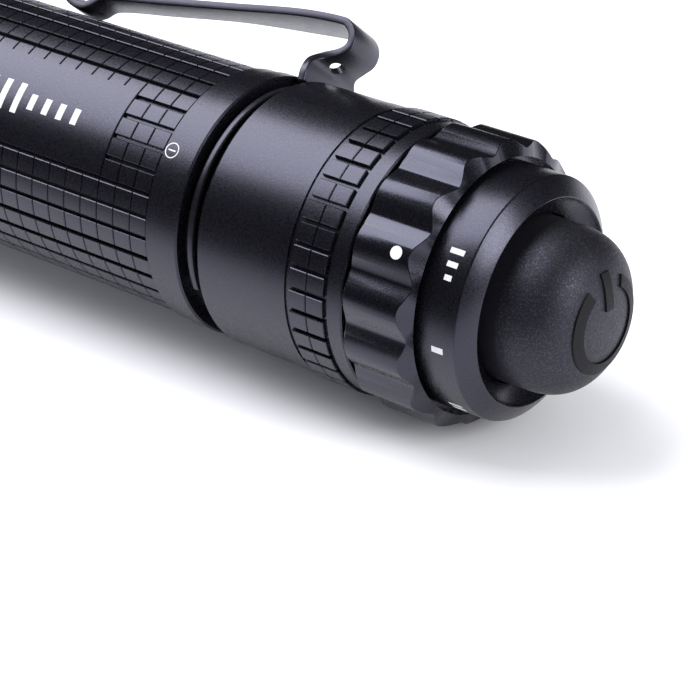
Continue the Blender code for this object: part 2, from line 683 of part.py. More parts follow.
def make_clip():
    """A spring-steel strip on an open ring that snaps into the groove behind the tube."""
    bm = bmesh.new()
    half = CLIP_RING_WIDTH / 2
    root = GROOVE_WIDTH / 2
    corners, edges = outline_edges(bm, washer(root - half, root + half, CLIP_RING, CLIP_RING_TOP),
                                   closed=True)
    face = bm.faces.new(corners)
    bmesh.ops.rotate(bm, verts=corners, cent=(0, 0, 0),
                     matrix=Matrix.Rotation(math.radians(-CLIP_RING_SWEEP / 2), 3, "X"))
    bmesh.ops.spin(bm, geom=corners + edges + [face], axis=(1, 0, 0), cent=(0, 0, 0),
                   angle=math.radians(CLIP_RING_SWEEP), steps=SIDES)
    bmesh.ops.transform(bm, matrix=around(CLIP_ANGLE), verts=bm.verts)
    clip = add_object("pocket_clip", mesh_from(bm, "pocket_clip"), "spring_steel_black")

    bm = bmesh.new()
    line = clip_line()
    rows = [(bm.verts.new((station, -width / 2, height)), bm.verts.new((station, width / 2, height)))
            for station, height, width in line]
    strip = [bm.faces.new((a[0], a[1], b[1], b[0])) for a, b in zip(rows, rows[1:])]
    bm.normal_update()
    for corner in bm.verts:
        corner.co += corner.normal * CLIP_THICKNESS / 2
    bmesh.ops.solidify(bm, geom=strip, thickness=CLIP_THICKNESS)
    bmesh.ops.transform(bm, matrix=around(CLIP_ANGLE), verts=bm.verts)
    shape_with(clip, mesh_from(bm, "clip_strip_guide"), "UNION")

    low, high = Vector(line[2][:2]), Vector(line[3][:2])
    middle = (low + high) / 2
    slope = high - low
    bm = bmesh.new()
    bmesh.ops.create_cone(bm, cap_ends=True, segments=SIDES_SMALL, radius1=CLIP_HOLE_RADIUS,
                          radius2=CLIP_HOLE_RADIUS, depth=4.0)
    bmesh.ops.rotate(bm, verts=bm.verts, cent=(0, 0, 0),
                     matrix=Matrix.Rotation(-math.atan2(slope.y, slope.x), 3, "Y"))
    bmesh.ops.translate(bm, vec=(middle.x, 0.0, middle.y), verts=bm.verts)
    bmesh.ops.transform(bm, matrix=around(CLIP_ANGLE), verts=bm.verts)
    shape_with(clip, mesh_from(bm, "lanyard_hole_cutter"), "DIFFERENCE")


def make_tail_cap():
    groove_floor = CORE - CORE_GROOVE_DEPTH
    outline = [
        (CAP_FRONT, CAP - CAP_CHAMFER),
        (CAP_FRONT + CAP_CHAMFER, CAP),
        (BAND_TILE_FRONT, CAP),
        (BAND_TILE_FRONT, CAP + BAND_HEIGHT),
        (BAND_TILE_REAR, CAP + BAND_HEIGHT),
        (BAND_TILE_REAR, CAP),
        (CAP_REAR, CAP),
        (CAP_REAR, CORE),
    ]
    for station in CORE_SEALS:
        outline += groove(station, groove_floor, CORE, CORE_GROOVE_WIDTH, 1)
    outline += [
        (CORE_SHOULDER, CORE),
        (CORE_SHOULDER, CORE_THREAD),
        (FLANGE_REAR, CORE_THREAD),
        (FLANGE_REAR, CHAMBER),
        (WEB_REAR, CHAMBER),
        (WEB_REAR, WEB_HOLE),
        (WEB_FRONT, WEB_HOLE),
        (WEB_FRONT, MODULE),
        (MODULE_FRONT, MODULE),
        (MODULE_FRONT, SOCKET),
        (CAP_FRONT, SOCKET),
    ]
    cap = turned("tail_cap", outline, "anodised_black")
    seal_radius = groove_floor + CORE_SEAL_SECTION + CORE_SEAL_ROOM
    seal("ring_front_seal", CORE_SEALS[0], seal_radius, CORE_SEAL_SECTION)
    seal("ring_rear_seal", CORE_SEALS[1], seal_radius, CORE_SEAL_SECTION)

    hole_floor = CAP_REAR - DETENT_HOLE_DEPTH
    hole = rod_mesh("detent_hole_cutter", hole_floor, CAP_REAR + CUT_PAST,
                    DETENT_RADIUS, DETENT_ANGLE, DETENT_HOLE_RADIUS, SIDES_SMALL)
    shape_with(cap, hole, "DIFFERENCE")
    ball_centre = RING_FRONT - GAP - DETENT_BALL_RADIUS
    bm = bmesh.new()
    bmesh.ops.create_uvsphere(bm, u_segments=10, v_segments=6, radius=DETENT_BALL_RADIUS)
    bmesh.ops.translate(bm, vec=(ball_centre, 0.0, DETENT_RADIUS), verts=bm.verts)
    bmesh.ops.transform(bm, matrix=around(DETENT_ANGLE), verts=bm.verts)
    add_object("detent_ball", mesh_from(bm, "detent_ball", 90.0), "spring_steel")
    spring_radius = DETENT_BALL_RADIUS - DETENT_WIRE
    spring = coil("detent_spring", hole_floor + GAP,
                  ball_centre - DETENT_BALL_RADIUS - DETENT_SPRING_ROOM, spring_radius,
                  spring_radius, DETENT_SPRING_TURNS, DETENT_WIRE, "spring_steel", points=8)
    spring.location = around(DETENT_ANGLE) @ Vector((0.0, 0.0, DETENT_RADIUS * MM))

    sensor_top = CORE - GAP
    sensor_floor = sensor_top - SENSOR_THICKNESS
    ends = (SENSOR_MIDDLE - SENSOR_LENGTH / 2, SENSOR_MIDDLE + SENSOR_LENGTH / 2)
    half = SENSOR_WIDTH / 2
    pocket = box_mesh("sensor_pocket_cutter", (ends[0] - GAP, -half - GAP, sensor_floor - GAP),
                      (ends[1] + GAP, half + GAP, CORE + CUT_PAST), RING_RIDGE_ANGLE)
    shape_with(cap, pocket, "DIFFERENCE")
    sensor = box_mesh("hall_sensor", (ends[0], -half, sensor_floor), (ends[1], half, sensor_top),
                      RING_RIDGE_ANGLE)
    add_object("hall_sensor", sensor, "dark_plastic")


def make_switch():
    radius = MODULE - GAP
    turned("switch_retaining_ring", washer(MODULE_FRONT + GAP, MODULE_RING_REAR,
                                           radius - MODULE_RING_WALL, radius), "brass",
           SIDES_INNER)
    turned("switch_contact_board", disc(CONTACT_BOARD_FRONT, SWITCH_FRONT - GAP, radius),
           "circuit_board", SIDES_INNER)
    bore = PLUNGER_RADIUS + THREAD_FIT
    turned("switch_housing", [
        (SWITCH_FRONT, 0.0),
        (SWITCH_FRONT, radius),
        (SWITCH_REAR, radius),
        (SWITCH_REAR, bore),
        (SWITCH_BORE_FLOOR, bore),
        (SWITCH_BORE_FLOOR, 0.0),
    ], "dark_plastic", SIDES_INNER)
    turned("switch_plunger", [
        (PLUNGER_FRONT, 0.0),
        (PLUNGER_FRONT, PLUNGER_RADIUS),
        (PLUNGER_CAP_FRONT, PLUNGER_RADIUS),
        (PLUNGER_CAP_FRONT, PLUNGER_CAP_RADIUS),
        (PLUNGER_REAR, PLUNGER_CAP_RADIUS),
        (PLUNGER_REAR, 0.0),
    ], "white_plastic", SIDES_SMALL)
    spring_radius = PLUNGER_RADIUS + PLUNGER_SPRING_ROOM + SPRING_WIRE
    coil("plunger_spring", WEB_FRONT + GAP, PLUNGER_CAP_FRONT - GAP, spring_radius,
         spring_radius, PLUNGER_SPRING_TURNS, SPRING_WIRE, "spring_steel")
    wide = radius - MODULE_RING_WALL - NEGATIVE_SPRING_ROOM - NEGATIVE_SPRING_WIRE
    coil("negative_spring", CELL_REAR + GAP, CONTACT_BOARD_FRONT - GAP,
         wide - NEGATIVE_SPRING_TAPER, wide, NEGATIVE_SPRING_TURNS, NEGATIVE_SPRING_WIRE,
         "spring_steel")


def dome(start, length, radius, steps=10):
    """Full, slightly square dome from its skirt to its tip on the axis."""
    points = []
    for step in range(steps + 1):
        turn = step / steps * math.pi / 2
        points.append((start + length * math.sin(turn) ** (2 / BUTTON_FULLNESS),
                       radius * math.cos(turn) ** (2 / BUTTON_FULLNESS)))
    points[-1] = (start + length, 0.0)
    return points


def make_button():
    """Hollow moulded cap with a flange under the collar and a boss on the plunger."""
    flange_radius = BUTTON_RADIUS + BUTTON_FLANGE
    inner = BUTTON_RADIUS - BUTTON_WALL
    shell = [(FLANGE_REAR - BUTTON_FLANGE_LENGTH, inner),
             (FLANGE_REAR - BUTTON_FLANGE_LENGTH, flange_radius),
             (FLANGE_REAR, flange_radius),
             (FLANGE_REAR, BUTTON_RADIUS)]
    outside = dome(DOME_START, BUTTON_DOME_LENGTH, BUTTON_RADIUS)
    inside = dome(DOME_START, BUTTON_DOME_LENGTH - BUTTON_WALL, inner, 6)
    inside = [point for point in inside if point[1] > BUTTON_BOSS_RADIUS + BUTTON_BOSS_FILLET]
    boss_root = REAR_END - BUTTON_WALL - BUTTON_BOSS_SINK
    outline = ([(BOSS_TIP, 0.0), (BOSS_TIP, BUTTON_BOSS_RADIUS), (boss_root, BUTTON_BOSS_RADIUS)]
               + inside[::-1] + shell + outside)
    turned("rubber_button", outline, "rubber_black", SIDES_INNER)


def make_collar():
    rim = COLLAR - COLLAR_RIM
    recess = [(station, BUTTON_HOLE + height * (rim - BUTTON_HOLE) / RECESS_DEPTH)
              for station, height in arc((COLLAR_REAR, 0.0), RECESS_DEPTH, 90.0, 180.0, 5)]
    turned("tail_collar", [
        (COLLAR_FRONT, COLLAR_BORE),
        (COLLAR_FRONT, COLLAR),
        (COLLAR_EDGE, COLLAR - COLLAR_TAPER),
    ] + recess + [
        (COLLAR_SEAT, BUTTON_HOLE),
        (COLLAR_SEAT, COLLAR_BORE),
    ], "anodised_black")


def make_ring():
    """Fluted ring: a turned blank trimmed by a lobed prism, so its chamfer crosses the flutes."""
    chamfer = RING_REAR - RING_CHAMFER_LENGTH
    ring = turned("rotary_ring", [
        (RING_FRONT, RING_BORE),
        (RING_FRONT, RING_RIDGE - RING_EDGE),
        (RING_FRONT + RING_EDGE, RING_RIDGE + RING_TRIM),
        (chamfer, RING_RIDGE + RING_TRIM),
        (RING_REAR - RING_EDGE, RING_VALLEY),
        (RING_REAR, RING_MOUTH),
        (RING_STEP, RING_MOUTH),
        (RING_STEP, RING_BORE),
    ], "anodised_ring", SIDES)
    bm = bmesh.new()
    steps = RING_FLUTES * RING_FLUTE_STEPS
    outline = []
    for step in range(steps):
        turn = math.tau * step / steps
        lobe = (0.5 + 0.5 * math.cos(RING_FLUTES * turn)) ** RING_LAND_FULLNESS
        radius = RING_VALLEY + RING_FLUTE_DEPTH * lobe
        outline.append(bm.verts.new((RING_FRONT - CUT_PAST, radius * math.sin(turn),
                                     radius * math.cos(turn))))
    face = bm.faces.new(outline)
    walls = bmesh.ops.extrude_face_region(bm, geom=[face])["geom"]
    moved = [v for v in walls if isinstance(v, bmesh.types.BMVert)]
    bmesh.ops.translate(bm, vec=(RING_LENGTH + 2 * CUT_PAST, 0.0, 0.0), verts=moved)
    bmesh.ops.transform(bm, matrix=around(RING_RIDGE_ANGLE), verts=bm.verts)
    shape_with(ring, mesh_from(bm, "flute_guide"), "INTERSECT")

    middle = (RING_FRONT + RING_STEP) / 2 + MAGNET_SHIFT
    half = MAGNET_SIZE / 2
    bottom = RING_BORE + GAP
    magnet_low = (middle - half, -half, bottom)
    magnet_high = (middle + half, half, bottom + MAGNET_THICKNESS)
    pocket = box_mesh("magnet_pocket_cutter",
                      (middle - half - GAP, -half - GAP, RING_BORE - CUT_PAST),
                      (middle + half + GAP, half + GAP, magnet_high[2] + GAP), RING_RIDGE_ANGLE)
    shape_with(ring, pocket, "DIFFERENCE")
    magnet = box_mesh("ring_magnet", magnet_low, magnet_high, RING_RIDGE_ANGLE)
    add_object("ring_magnet", magnet, "magnet_nickel")
    for index in range(DETENT_COUNT):
        dimple = rod_mesh(f"detent_dimple_cutter_{index + 1}", RING_FRONT - CUT_PAST,
                          RING_FRONT + DETENT_DIMPLE_DEPTH, DETENT_RADIUS,
                          DETENT_ANGLE + index * DETENT_STEP, DETENT_BALL_RADIUS, 8)
        shape_with(ring, dimple, "DIFFERENCE")


clear_scene()
beam_axis = bpy.data.objects.new("beam_axis", None)
beam_axis.location = (-(FRONT_END + REAR_END) / 2 * MM, 0.0, FLAT_HEIGHT * MM)
bpy.context.collection.objects.link(beam_axis)

make_bezel()
make_optics()
make_head()
make_tube()
make_battery()
make_clip()
make_tail_cap()
make_switch()
make_button()
make_collar()
make_ring()
bpy.context.view_layer.update()
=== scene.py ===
"""Looks of a tactical flashlight with a spring clip, a rotary mode ring and a rubber button.

Shapes are drawn in millimetres round the beam axis: a station is a distance along the axis
from the rear shoulder of the body tube, positive towards the tail, and an angle is measured
round the axis from straight up towards +Y.
"""

import math

import bmesh
import bpy
from mathutils import Matrix, Vector


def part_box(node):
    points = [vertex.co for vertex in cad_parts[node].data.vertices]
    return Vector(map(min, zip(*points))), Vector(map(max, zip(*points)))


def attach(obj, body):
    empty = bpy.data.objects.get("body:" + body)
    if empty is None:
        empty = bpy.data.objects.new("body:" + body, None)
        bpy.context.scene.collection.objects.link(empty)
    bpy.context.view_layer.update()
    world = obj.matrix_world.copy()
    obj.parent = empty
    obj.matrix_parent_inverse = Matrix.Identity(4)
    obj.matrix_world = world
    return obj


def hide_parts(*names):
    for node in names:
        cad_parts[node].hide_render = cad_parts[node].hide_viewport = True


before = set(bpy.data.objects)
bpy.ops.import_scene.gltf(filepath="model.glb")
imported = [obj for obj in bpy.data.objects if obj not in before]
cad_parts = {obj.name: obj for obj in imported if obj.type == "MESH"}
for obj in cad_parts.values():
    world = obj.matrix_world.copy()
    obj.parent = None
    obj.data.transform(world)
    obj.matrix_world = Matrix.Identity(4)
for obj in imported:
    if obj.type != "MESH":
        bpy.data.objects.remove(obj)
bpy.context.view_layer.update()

MM = 0.001
REAR_THREAD_LENGTH = 9.0


# ---------------------------------------------------------------- places, from the frame

def axis_height():
    low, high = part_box("battery_cell")
    return (low[2] + high[2]) / 2


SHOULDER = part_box("body_tube")[1][0] - REAR_THREAD_LENGTH * MM
AXIS = axis_height()
PLACE = Matrix.Translation((SHOULDER, 0.0, AXIS)) @ Matrix.Scale(MM, 4)


def span(node):
    """Front and rear station of a node."""
    low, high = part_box(node)
    return (low[0] - SHOULDER) / MM, (high[0] - SHOULDER) / MM


def reach(node):
    """Largest radius of a round node that is centred on the beam axis."""
    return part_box(node)[1][1] / MM


TUBE_FRONT, TUBE_REAR = span("body_tube")
HEAD_FRONT, HEAD_REAR = span("head_housing")
BEZEL_FRONT, BEZEL_SKIRT = span("bezel_ring")
CAP_FRONT = span("tail_cap")[0]
CORE_REAR = span("tail_cap")[1]
RING_FRONT = span("rotary_ring")[0]
COLLAR_FRONT, COLLAR_REAR = span("tail_collar")
BUTTON_FRONT, BUTTON_REAR = span("rubber_button")
FLANGE = reach("body_tube")
BEZEL = reach("bezel_ring")
COLLAR = reach("tail_collar")

# ---------------------------------------------------------------- sizes of the fine shapes
FILLET = 0.12
SIDES = 192

STEPS_PER_TILE = 6
TILE_GROOVE = 0.06
TILE_WALL = 0.02
TILE_BEVEL = 0.07

TUBE_ROWS = 36
TUBE_FIRST_ROW = -19.7
TILE_PITCH = 2.12
TILE_REAR = -4.12
TUBE_WAIST = 12.3
TUBE_RELIEF = 0.38
FLANGE_CHAMFER = 0.18
FLANGE_STEP = -1.9
FLANGE_STEP_LENGTH = 0.08
FLANGE_STEP_HEIGHT = 0.14
FLANGE_EDGE = 0.22
FRONT_SHOULDER = 8.3
FRONT_FLANGE = 2.0
FRONT_CHAMFER = 0.15
THREAD = 11.2
THREAD_DEPTH = 0.35
THREAD_PITCH = 0.8
THREAD_RISE = 0.3
THREAD_CREST = 0.5
THREAD_CHAMFER = 0.2
THREAD_FROM_SEAL = 0.3
THREAD_END_ROOM = 0.1
BORE = 9.6
SEAL_FLOOR = 10.2
SEAL_WIDTH = 1.6
SEAL_MIDDLE = 5.3
PANEL_ROWS = 5
PANEL_FIRST_COLUMN = 3
PANEL_LAST_COLUMN = 21
PANEL_TICK_STEPS = 3

CAP = 12.95
CAP_REAR = 19.74
CAP_SOCKET = 11.6
CAP_CHAMFER = 0.6
CAP_REAR_CHAMFER = 0.15
CAP_LINE = 10.95
CAP_LINE_WIDTH = 0.05
CAP_LINE_HEIGHT = 0.06
BAND_ROWS = 39
BAND_FIRST_ROW = -11.5
BAND_REAR = 17.88
BAND_PITCH = 2.0
BAND_ZONE = (13.25, 18.12)
BAND_WALL = 0.04
BAND_RELIEF = 0.25
BAND_SINK = 0.15
CORE = 10.8
CORE_THREAD = 10.1
CORE_STEP = 25.87
CORE_BORE = 9.0
WEB = (20.3, 21.8)
WEB_HOLE = 5.0
SWITCH_BORE = 9.5
SOCKET_FLOOR = 9.3

FLUTES = 16
FLUTE_STEPS = 40
FLUTE_FULLNESS = 1.4
RING_LAND = 13.55
RING_VALLEY = 12.8
RING_LAND_ANGLE = -58.8
RING_GAP = 0.12
RING_BORE = 11.1
RING_MOUTH = 12.04
RING_STEP = 25.80
RING_FRONT_CHAMFER = 0.16
RING_CONE = ((26.12, 13.55), (26.6, 13.2), (26.84, 12.9), (26.98, 12.55), (27.07, 12.04))
RING_EDGE = 0.04
BLANK_DRAFT = 0.01
BLANK_FRONT_EDGE = 0.3
BLANK_REAR_EDGES = (25.9, 26.0)
BLANK_SKIN = 0.1

COLLAR_EDGE = 30.98
COLLAR_TAPER = 0.1
COLLAR_RIM = 1.8
RECESS_DEPTH = 1.5
RECESS_HOLLOW = 0.75
RECESS_STEPS = 8
COLLAR_SEAT = 29.8
COLLAR_BORE = 10.5
BUTTON_HOLE = 7.85

BUTTON_RADIUS = 7.7
BUTTON_SKIRT_REAR = 33.4
# up to this station the button's skirt is smooth and painted plain dark as shade
BUTTON_SMOOTH_SHADED_TO = 32.6
BUTTON_FULLNESS = 2.6
BUTTON_WALL = 1.7
BUTTON_BOSS = 2.4
BUTTON_BOSS_DEPTH = 6.4
BUTTON_ROOF = 2.0
BUTTON_ROOF_DEPTH = 3.5
BUTTON_HAUNCH_DEPTH = 6.0
BUTTON_FLANGE = 1.0
BUTTON_FLANGE_LENGTH = 1.4
DOME_STEPS = 40
BUTTON_APEX_ROOM = 0.18
SYMBOL_PROUD = 0.2
SYMBOL_RADIUS = 4.1
SYMBOL_WIDTH = 1.1
SYMBOL_GAP = 32.0
SYMBOL_SINK = 0.2
SYMBOL_BAR = 3.4

FIN_TIP = 14.9
FIN_ROOT = 12.9
HEAD_CORNER = 15.9
FLAT_HEIGHT = 15.1
FLAT_COUNT = 6
FACET_CHAMFER = 0.7
FACET_BAND_FROM_FRONT = 6.4
FACET_BAND_LENGTH = 10.0
FIN_COUNT = 3
FIN_PITCH = 3.0
FIN_LENGTH = 1.6
FINS_FROM_NECK = 2.8
NECK = 13.2
NECK_LENGTH = 3.7
NECK_CHAMFER = 0.5
HEAD_FILLET = 0.16
HEAD_EDGE = 0.2
HEAD_SIDES = 240
HEAD_BORE = 13.0
BEZEL_SOCKET = 13.9
BEZEL_SOCKET_DEPTH = 7.4
SHELF = (-79.0, -75.0)
SHELF_HOLE = 1.0
DRIVER_BORE = 11.0
TUBE_ROOM = 0.3

BEZEL_SIDES = 360
BEZEL_EDGE = 0.3
BEZEL_FRONT_ROWS = 0.5
BEZEL_BORE_EDGE = 0.1
BEZEL_LIP = 3.1
BEZEL_WALL = 3.4
BEZEL_TOOTH_ROOT = 2.2
BEZEL_SKIRT_TOP = -98.3
BEZEL_REAR_CHAMFER = 0.2
BEZEL_SKIRT_RADIUS = 13.6
BEZEL_SKIRT_BORE = 12.6
NOTCH_COUNT = 6
NOTCH_DEPTH = 1.6
NOTCH_HALF_WIDTH = 2.5

BOWL_REAR = -82.9
BOWL_FRONT = -98.3
BOWL_HOLE = 3.6
BOWL_MOUTH = 11.6
BOWL_STEPS = 32
BOWL_RIM = 12.3
BOWL_RIM_LENGTH = 7.0
BOWL_NECK = 8.2
BOWL_NECK_LENGTH = 1.5

COIL_WIRE = 0.4
COIL_TURNS = 4
COIL_POINTS = 32
COIL_FRONT_RADIUS = 3.2
COIL_TAPER = 2.0


# ---------------------------------------------------------------- finishes

class Value:
    """A socket of a finish's nodes that is reckoned with like a number."""

    def __init__(self, finish, socket):
        self.finish = finish
        self.socket = socket

    def __add__(self, other):
        return self.finish.math("ADD", self, other)

    def __sub__(self, other):
        return self.finish.math("SUBTRACT", self, other)

    def __rsub__(self, other):
        return self.finish.math("SUBTRACT", other, self)

    def __mul__(self, other):
        return self.finish.math("MULTIPLY", self, other)

    __radd__ = __add__
    __rmul__ = __mul__


class Finish:
    """A material with a Principled shader, and short ways to feed it."""

    def __init__(self, name):
        self.material = bpy.data.materials.new(name)
        self.material.use_nodes = True
        self.tree = self.material.node_tree
        self.shader = self.tree.nodes["Principled BSDF"]
        self.place = self.node("ShaderNodeTexCoord", output="Object")

    def feed(self, socket, value):
        if isinstance(value, Value):
            self.tree.links.new(value.socket, socket)
        else:
            socket.default_value = value

    def node(self, kind, settings=None, inputs=None, output=0):
        made = self.tree.nodes.new(kind)
        for name, value in (settings or {}).items():
            setattr(made, name, value)
        for name, value in (inputs or {}).items():
            self.feed(made.inputs[name], value)
        return Value(self, made.outputs[output])

    def math(self, operation, first, second):
        return self.node("ShaderNodeMath", {"operation": operation}, {0: first, 1: second})

    def noise(self, per_metre, detail=3.0):
        return self.node("ShaderNodeTexNoise", None,
                         {"Vector": self.place, "Scale": per_metre, "Detail": detail})

    def between(self, factor, low, high):
        """Spreads a factor of about 0.3 to 0.7 over low to high."""
        return self.node("ShaderNodeMapRange", None,
                         {"Value": factor, "From Min": 0.3, "From Max": 0.7,
                          "To Min": low, "To Max": high})

    def specks(self, per_metre, amount):
        """A mask of small grains, amount being the share of cells that has one."""
        cells = self.node("ShaderNodeTexVoronoi", None,
                          {"Vector": self.place, "Scale": per_metre}, "Color")
        lit = self.node("ShaderNodeSeparateColor", None, {"Color": cells})
        return self.math("GREATER_THAN", lit, 1.0 - amount)

    def blend(self, factor, first, second):
        mix = self.tree.nodes.new("ShaderNodeMix")
        mix.data_type = "RGBA"
        self.feed(mix.inputs[0], factor)
        self.feed(mix.inputs[6], (*first, 1.0))
        self.feed(mix.inputs[7], (*second, 1.0))
        return Value(self, mix.outputs[2])

    def bump(self, height, strength, depth_mm):
        return self.node("ShaderNodeBump", None, {"Height": height, "Strength": strength,
                                                  "Distance": depth_mm * MM})

    def put(self, **sockets):
        for name, value in sockets.items():
            self.feed(self.shader.inputs[name.replace("_", " ")], value)
        return self.material


COOL_SHEEN = (0.76, 0.76, 1.0, 1.0)


def anodised(name, colour, light_colour, roughness, grain):
    """Hard-anodised aluminium: a fine blasted grain under a thin, slightly uneven film."""
    f = Finish(name)
    fine = f.noise(5500.0, 2.0)
    tone = f.between(fine, 0.0, 1.0)
    return f.put(Base_Color=f.blend(tone, colour, light_colour),
                 Metallic=0.0, IOR=1.6, Specular_Tint=COOL_SHEEN,
                 Roughness=f.between(fine, roughness - 0.04, roughness + 0.05),
                 Normal=f.bump(fine, grain, 0.012))


def moulded_rubber():
    """Matte moulded rubber: a stippled dome with a few bright grains, and a smooth skirt without
    grains, kept plain dark as painted shade where it sits down in the collar's recess.
    """
    f = Finish("moulded_rubber")
    station = f.node("ShaderNodeSeparateXYZ", None, {"Vector": f.place})
    # below this station the skirt is left smooth, and its plain dark with no bright grains is
    # painted shade
    above = f.math("GREATER_THAN", station, SHOULDER + BUTTON_SMOOTH_SHADED_TO * MM)
    stipple = f.noise(6500.0, 3.0)
    grains = f.specks(10500.0, 0.22) * above
    return f.put(Base_Color=f.blend(grains, (0.006, 0.006, 0.007), (0.022, 0.022, 0.026)),
                 IOR=1.5, Specular_Tint=COOL_SHEEN,
                 Roughness=f.between(stipple, 0.46, 0.60) - grains * 0.10,
                 Normal=f.bump(stipple * above, 0.7, 0.03))


def sprung_steel_black():
    """Black-coated spring steel with faint drawing lines along the strip."""
    f = Finish("sprung_steel_black")
    stretched = f.node("ShaderNodeMapping", None, {"Vector": f.place,
                                                   "Scale": (400.0, 7000.0, 7000.0)})
    lines = f.node("ShaderNodeTexNoise", None, {"Vector": stretched, "Scale": 1.0})
    fine = f.noise(8000.0, 2.0)
    return f.put(Base_Color=f.blend(f.between(lines, 0.0, 1.0), (0.006, 0.006, 0.007),
                                    (0.010, 0.010, 0.012)),
                 IOR=1.6, Specular_Tint=COOL_SHEEN, Roughness=f.between(lines, 0.27, 0.36),
                 Normal=f.bump(fine + lines, 0.12, 0.010))


def plain_rubber(name, colour, light_colour, gloss):
    f = Finish(name)
    skin = f.noise(4000.0)
    return f.put(Base_Color=f.blend(f.between(skin, 0.0, 1.0), colour, light_colour),
                 Specular_IOR_Level=gloss,
                 Roughness=f.between(skin, 0.45, 0.65), Normal=f.bump(skin, 0.2, 0.01))


def metal(name, colour, dull_colour, roughness):
    """Bare turned metal, with the fine rings that the lathe tool leaves."""
    f = Finish(name)
    rings = f.node("ShaderNodeTexWave", {"bands_direction": "X"},
                   {"Vector": f.place, "Scale": 1600.0, "Distortion": 0.6})
    cloud = f.noise(500.0)
    return f.put(Base_Color=f.blend(f.between(cloud, 0.0, 1.0), colour, dull_colour),
                 Metallic=1.0, Roughness=f.between(cloud, roughness, roughness + 0.1),
                 Normal=f.bump(rings, 0.06, 0.008))


def plastic(name, colour, other_colour, roughness):
    f = Finish(name)
    skin = f.noise(3500.0)
    return f.put(Base_Color=f.blend(f.between(f.noise(300.0), 0.0, 1.0), colour, other_colour),
                 Roughness=f.between(skin, roughness - 0.05, roughness + 0.08),
                 Normal=f.bump(skin, 0.12, 0.01))


def coated_glass():
    """Clear lens glass with a faint film; only its gloss shows."""
    f = Finish("coated_glass")
    film = f.noise(120.0)
    return f.put(Base_Color=f.blend(film, (0.55, 0.62, 0.80), (0.66, 0.60, 0.78)),
                 Alpha=0.14, IOR=1.5, Roughness=f.between(film, 0.02, 0.05))


def mark_paint():
    """White printed ink, slightly thin in places."""
    f = Finish("mark_paint")
    thin = f.noise(9000.0)
    return f.put(Base_Color=f.blend(f.between(thin, 0.0, 1.0), (0.60, 0.60, 0.60),
                                    (0.78, 0.78, 0.78)),
                 Roughness=f.between(thin, 0.45, 0.6), Normal=f.bump(thin, 0.1, 0.006))


BODY_BLACK = anodised("body_black", (0.002, 0.002, 0.003), (0.005, 0.005, 0.007), 0.29, 0.5)
RING_BLACK = anodised("ring_black", (0.002, 0.002, 0.003), (0.004, 0.004, 0.006), 0.25, 0.4)
CLIP_BLACK = sprung_steel_black()
BUTTON_RUBBER = moulded_rubber()
SYMBOL_RUBBER = plain_rubber("symbol_rubber", (0.003, 0.003, 0.005), (0.006, 0.006, 0.008), 0.2)
SEAL_RUBBER = plain_rubber("seal_rubber", (0.009, 0.009, 0.009), (0.016, 0.016, 0.016), 0.5)
LENS_GLASS = coated_glass()
MARK_PAINT = mark_paint()
MIRROR = metal("mirror", (0.92, 0.92, 0.92), (0.88, 0.88, 0.88), 0.05)
BRASS = metal("brass", (0.78, 0.55, 0.24), (0.62, 0.42, 0.18), 0.26)
BRIGHT_STEEL = metal("bright_steel", (0.62, 0.62, 0.60), (0.50, 0.50, 0.49), 0.24)
NICKEL = metal("nickel", (0.72, 0.71, 0.68), (0.62, 0.61, 0.59), 0.18)
BOARD_GREEN = plastic("board_green", (0.018, 0.105, 0.046), (0.026, 0.135, 0.060), 0.42)
BOARD_WHITE = plastic("board_white", (0.80, 0.80, 0.78), (0.72, 0.72, 0.70), 0.42)
LED_YELLOW = plastic("led_yellow", (0.85, 0.70, 0.10), (0.80, 0.62, 0.07), 0.32)
WHITE_PLASTIC = plastic("white_plastic", (0.78, 0.78, 0.76), (0.70, 0.70, 0.68), 0.46)
DARK_PLASTIC = plastic("dark_plastic", (0.028, 0.028, 0.030), (0.040, 0.040, 0.042), 0.46)
CELL_WRAP = plastic("cell_wrap", (0.028, 0.115, 0.23), (0.034, 0.135, 0.27), 0.32)
CERAMIC = plastic("ceramic", (0.82, 0.82, 0.80), (0.76, 0.76, 0.74), 0.16)
RED_WIRE = plastic("red_wire", (0.45, 0.02, 0.02), (0.36, 0.015, 0.015), 0.42)
BLACK_WIRE = plastic("black_wire", (0.020, 0.020, 0.020), (0.030, 0.030, 0.030), 0.42)

KEPT_NODES = {
    SEAL_RUBBER: ("bezel_seal", "lens_seal", "tube_front_seal", "tube_rear_seal",
                  "ring_front_seal", "ring_rear_seal"),
    LENS_GLASS: ("lens",),
    BRASS: ("driver_retaining_ring", "positive_contact", "switch_retaining_ring"),
    BRIGHT_STEEL: ("battery_tip", "detent_ball", "detent_spring", "plunger_spring"),
    NICKEL: ("ring_magnet",),
    BOARD_GREEN: ("driver_board", "switch_contact_board"),
    BOARD_WHITE: ("led_board",),
    LED_YELLOW: ("led_emitter",),
    WHITE_PLASTIC: ("led_centering_ring", "battery_insulator", "switch_plunger"),
    DARK_PLASTIC: ("hall_sensor", "switch_housing"),
    CELL_WRAP: ("battery_cell",),
    RED_WIRE: ("led_lead_positive",),
    BLACK_WIRE: ("led_lead_negative",),
}


# ---------------------------------------------------------------- making pieces

def rounded(outline, fillet=FILLET, steps=3):
    """Rounds the corners of a closed outline of (station, radius) points."""
    points = [Vector(point) for point in outline]
    smooth = []
    for index, corner in enumerate(points):
        before, after = points[index - 1], points[(index + 1) % len(points)]
        room = min((corner - before).length, (after - corner).length) * 0.45
        cut = min(fillet, room)
        start = corner + (before - corner).normalized() * cut
        end = corner + (after - corner).normalized() * cut
        for step in range(steps + 1):
            t = step / steps
            smooth.append(tuple(start * (1 - t) ** 2 + corner * 2 * t * (1 - t) + end * t ** 2))
    return smooth


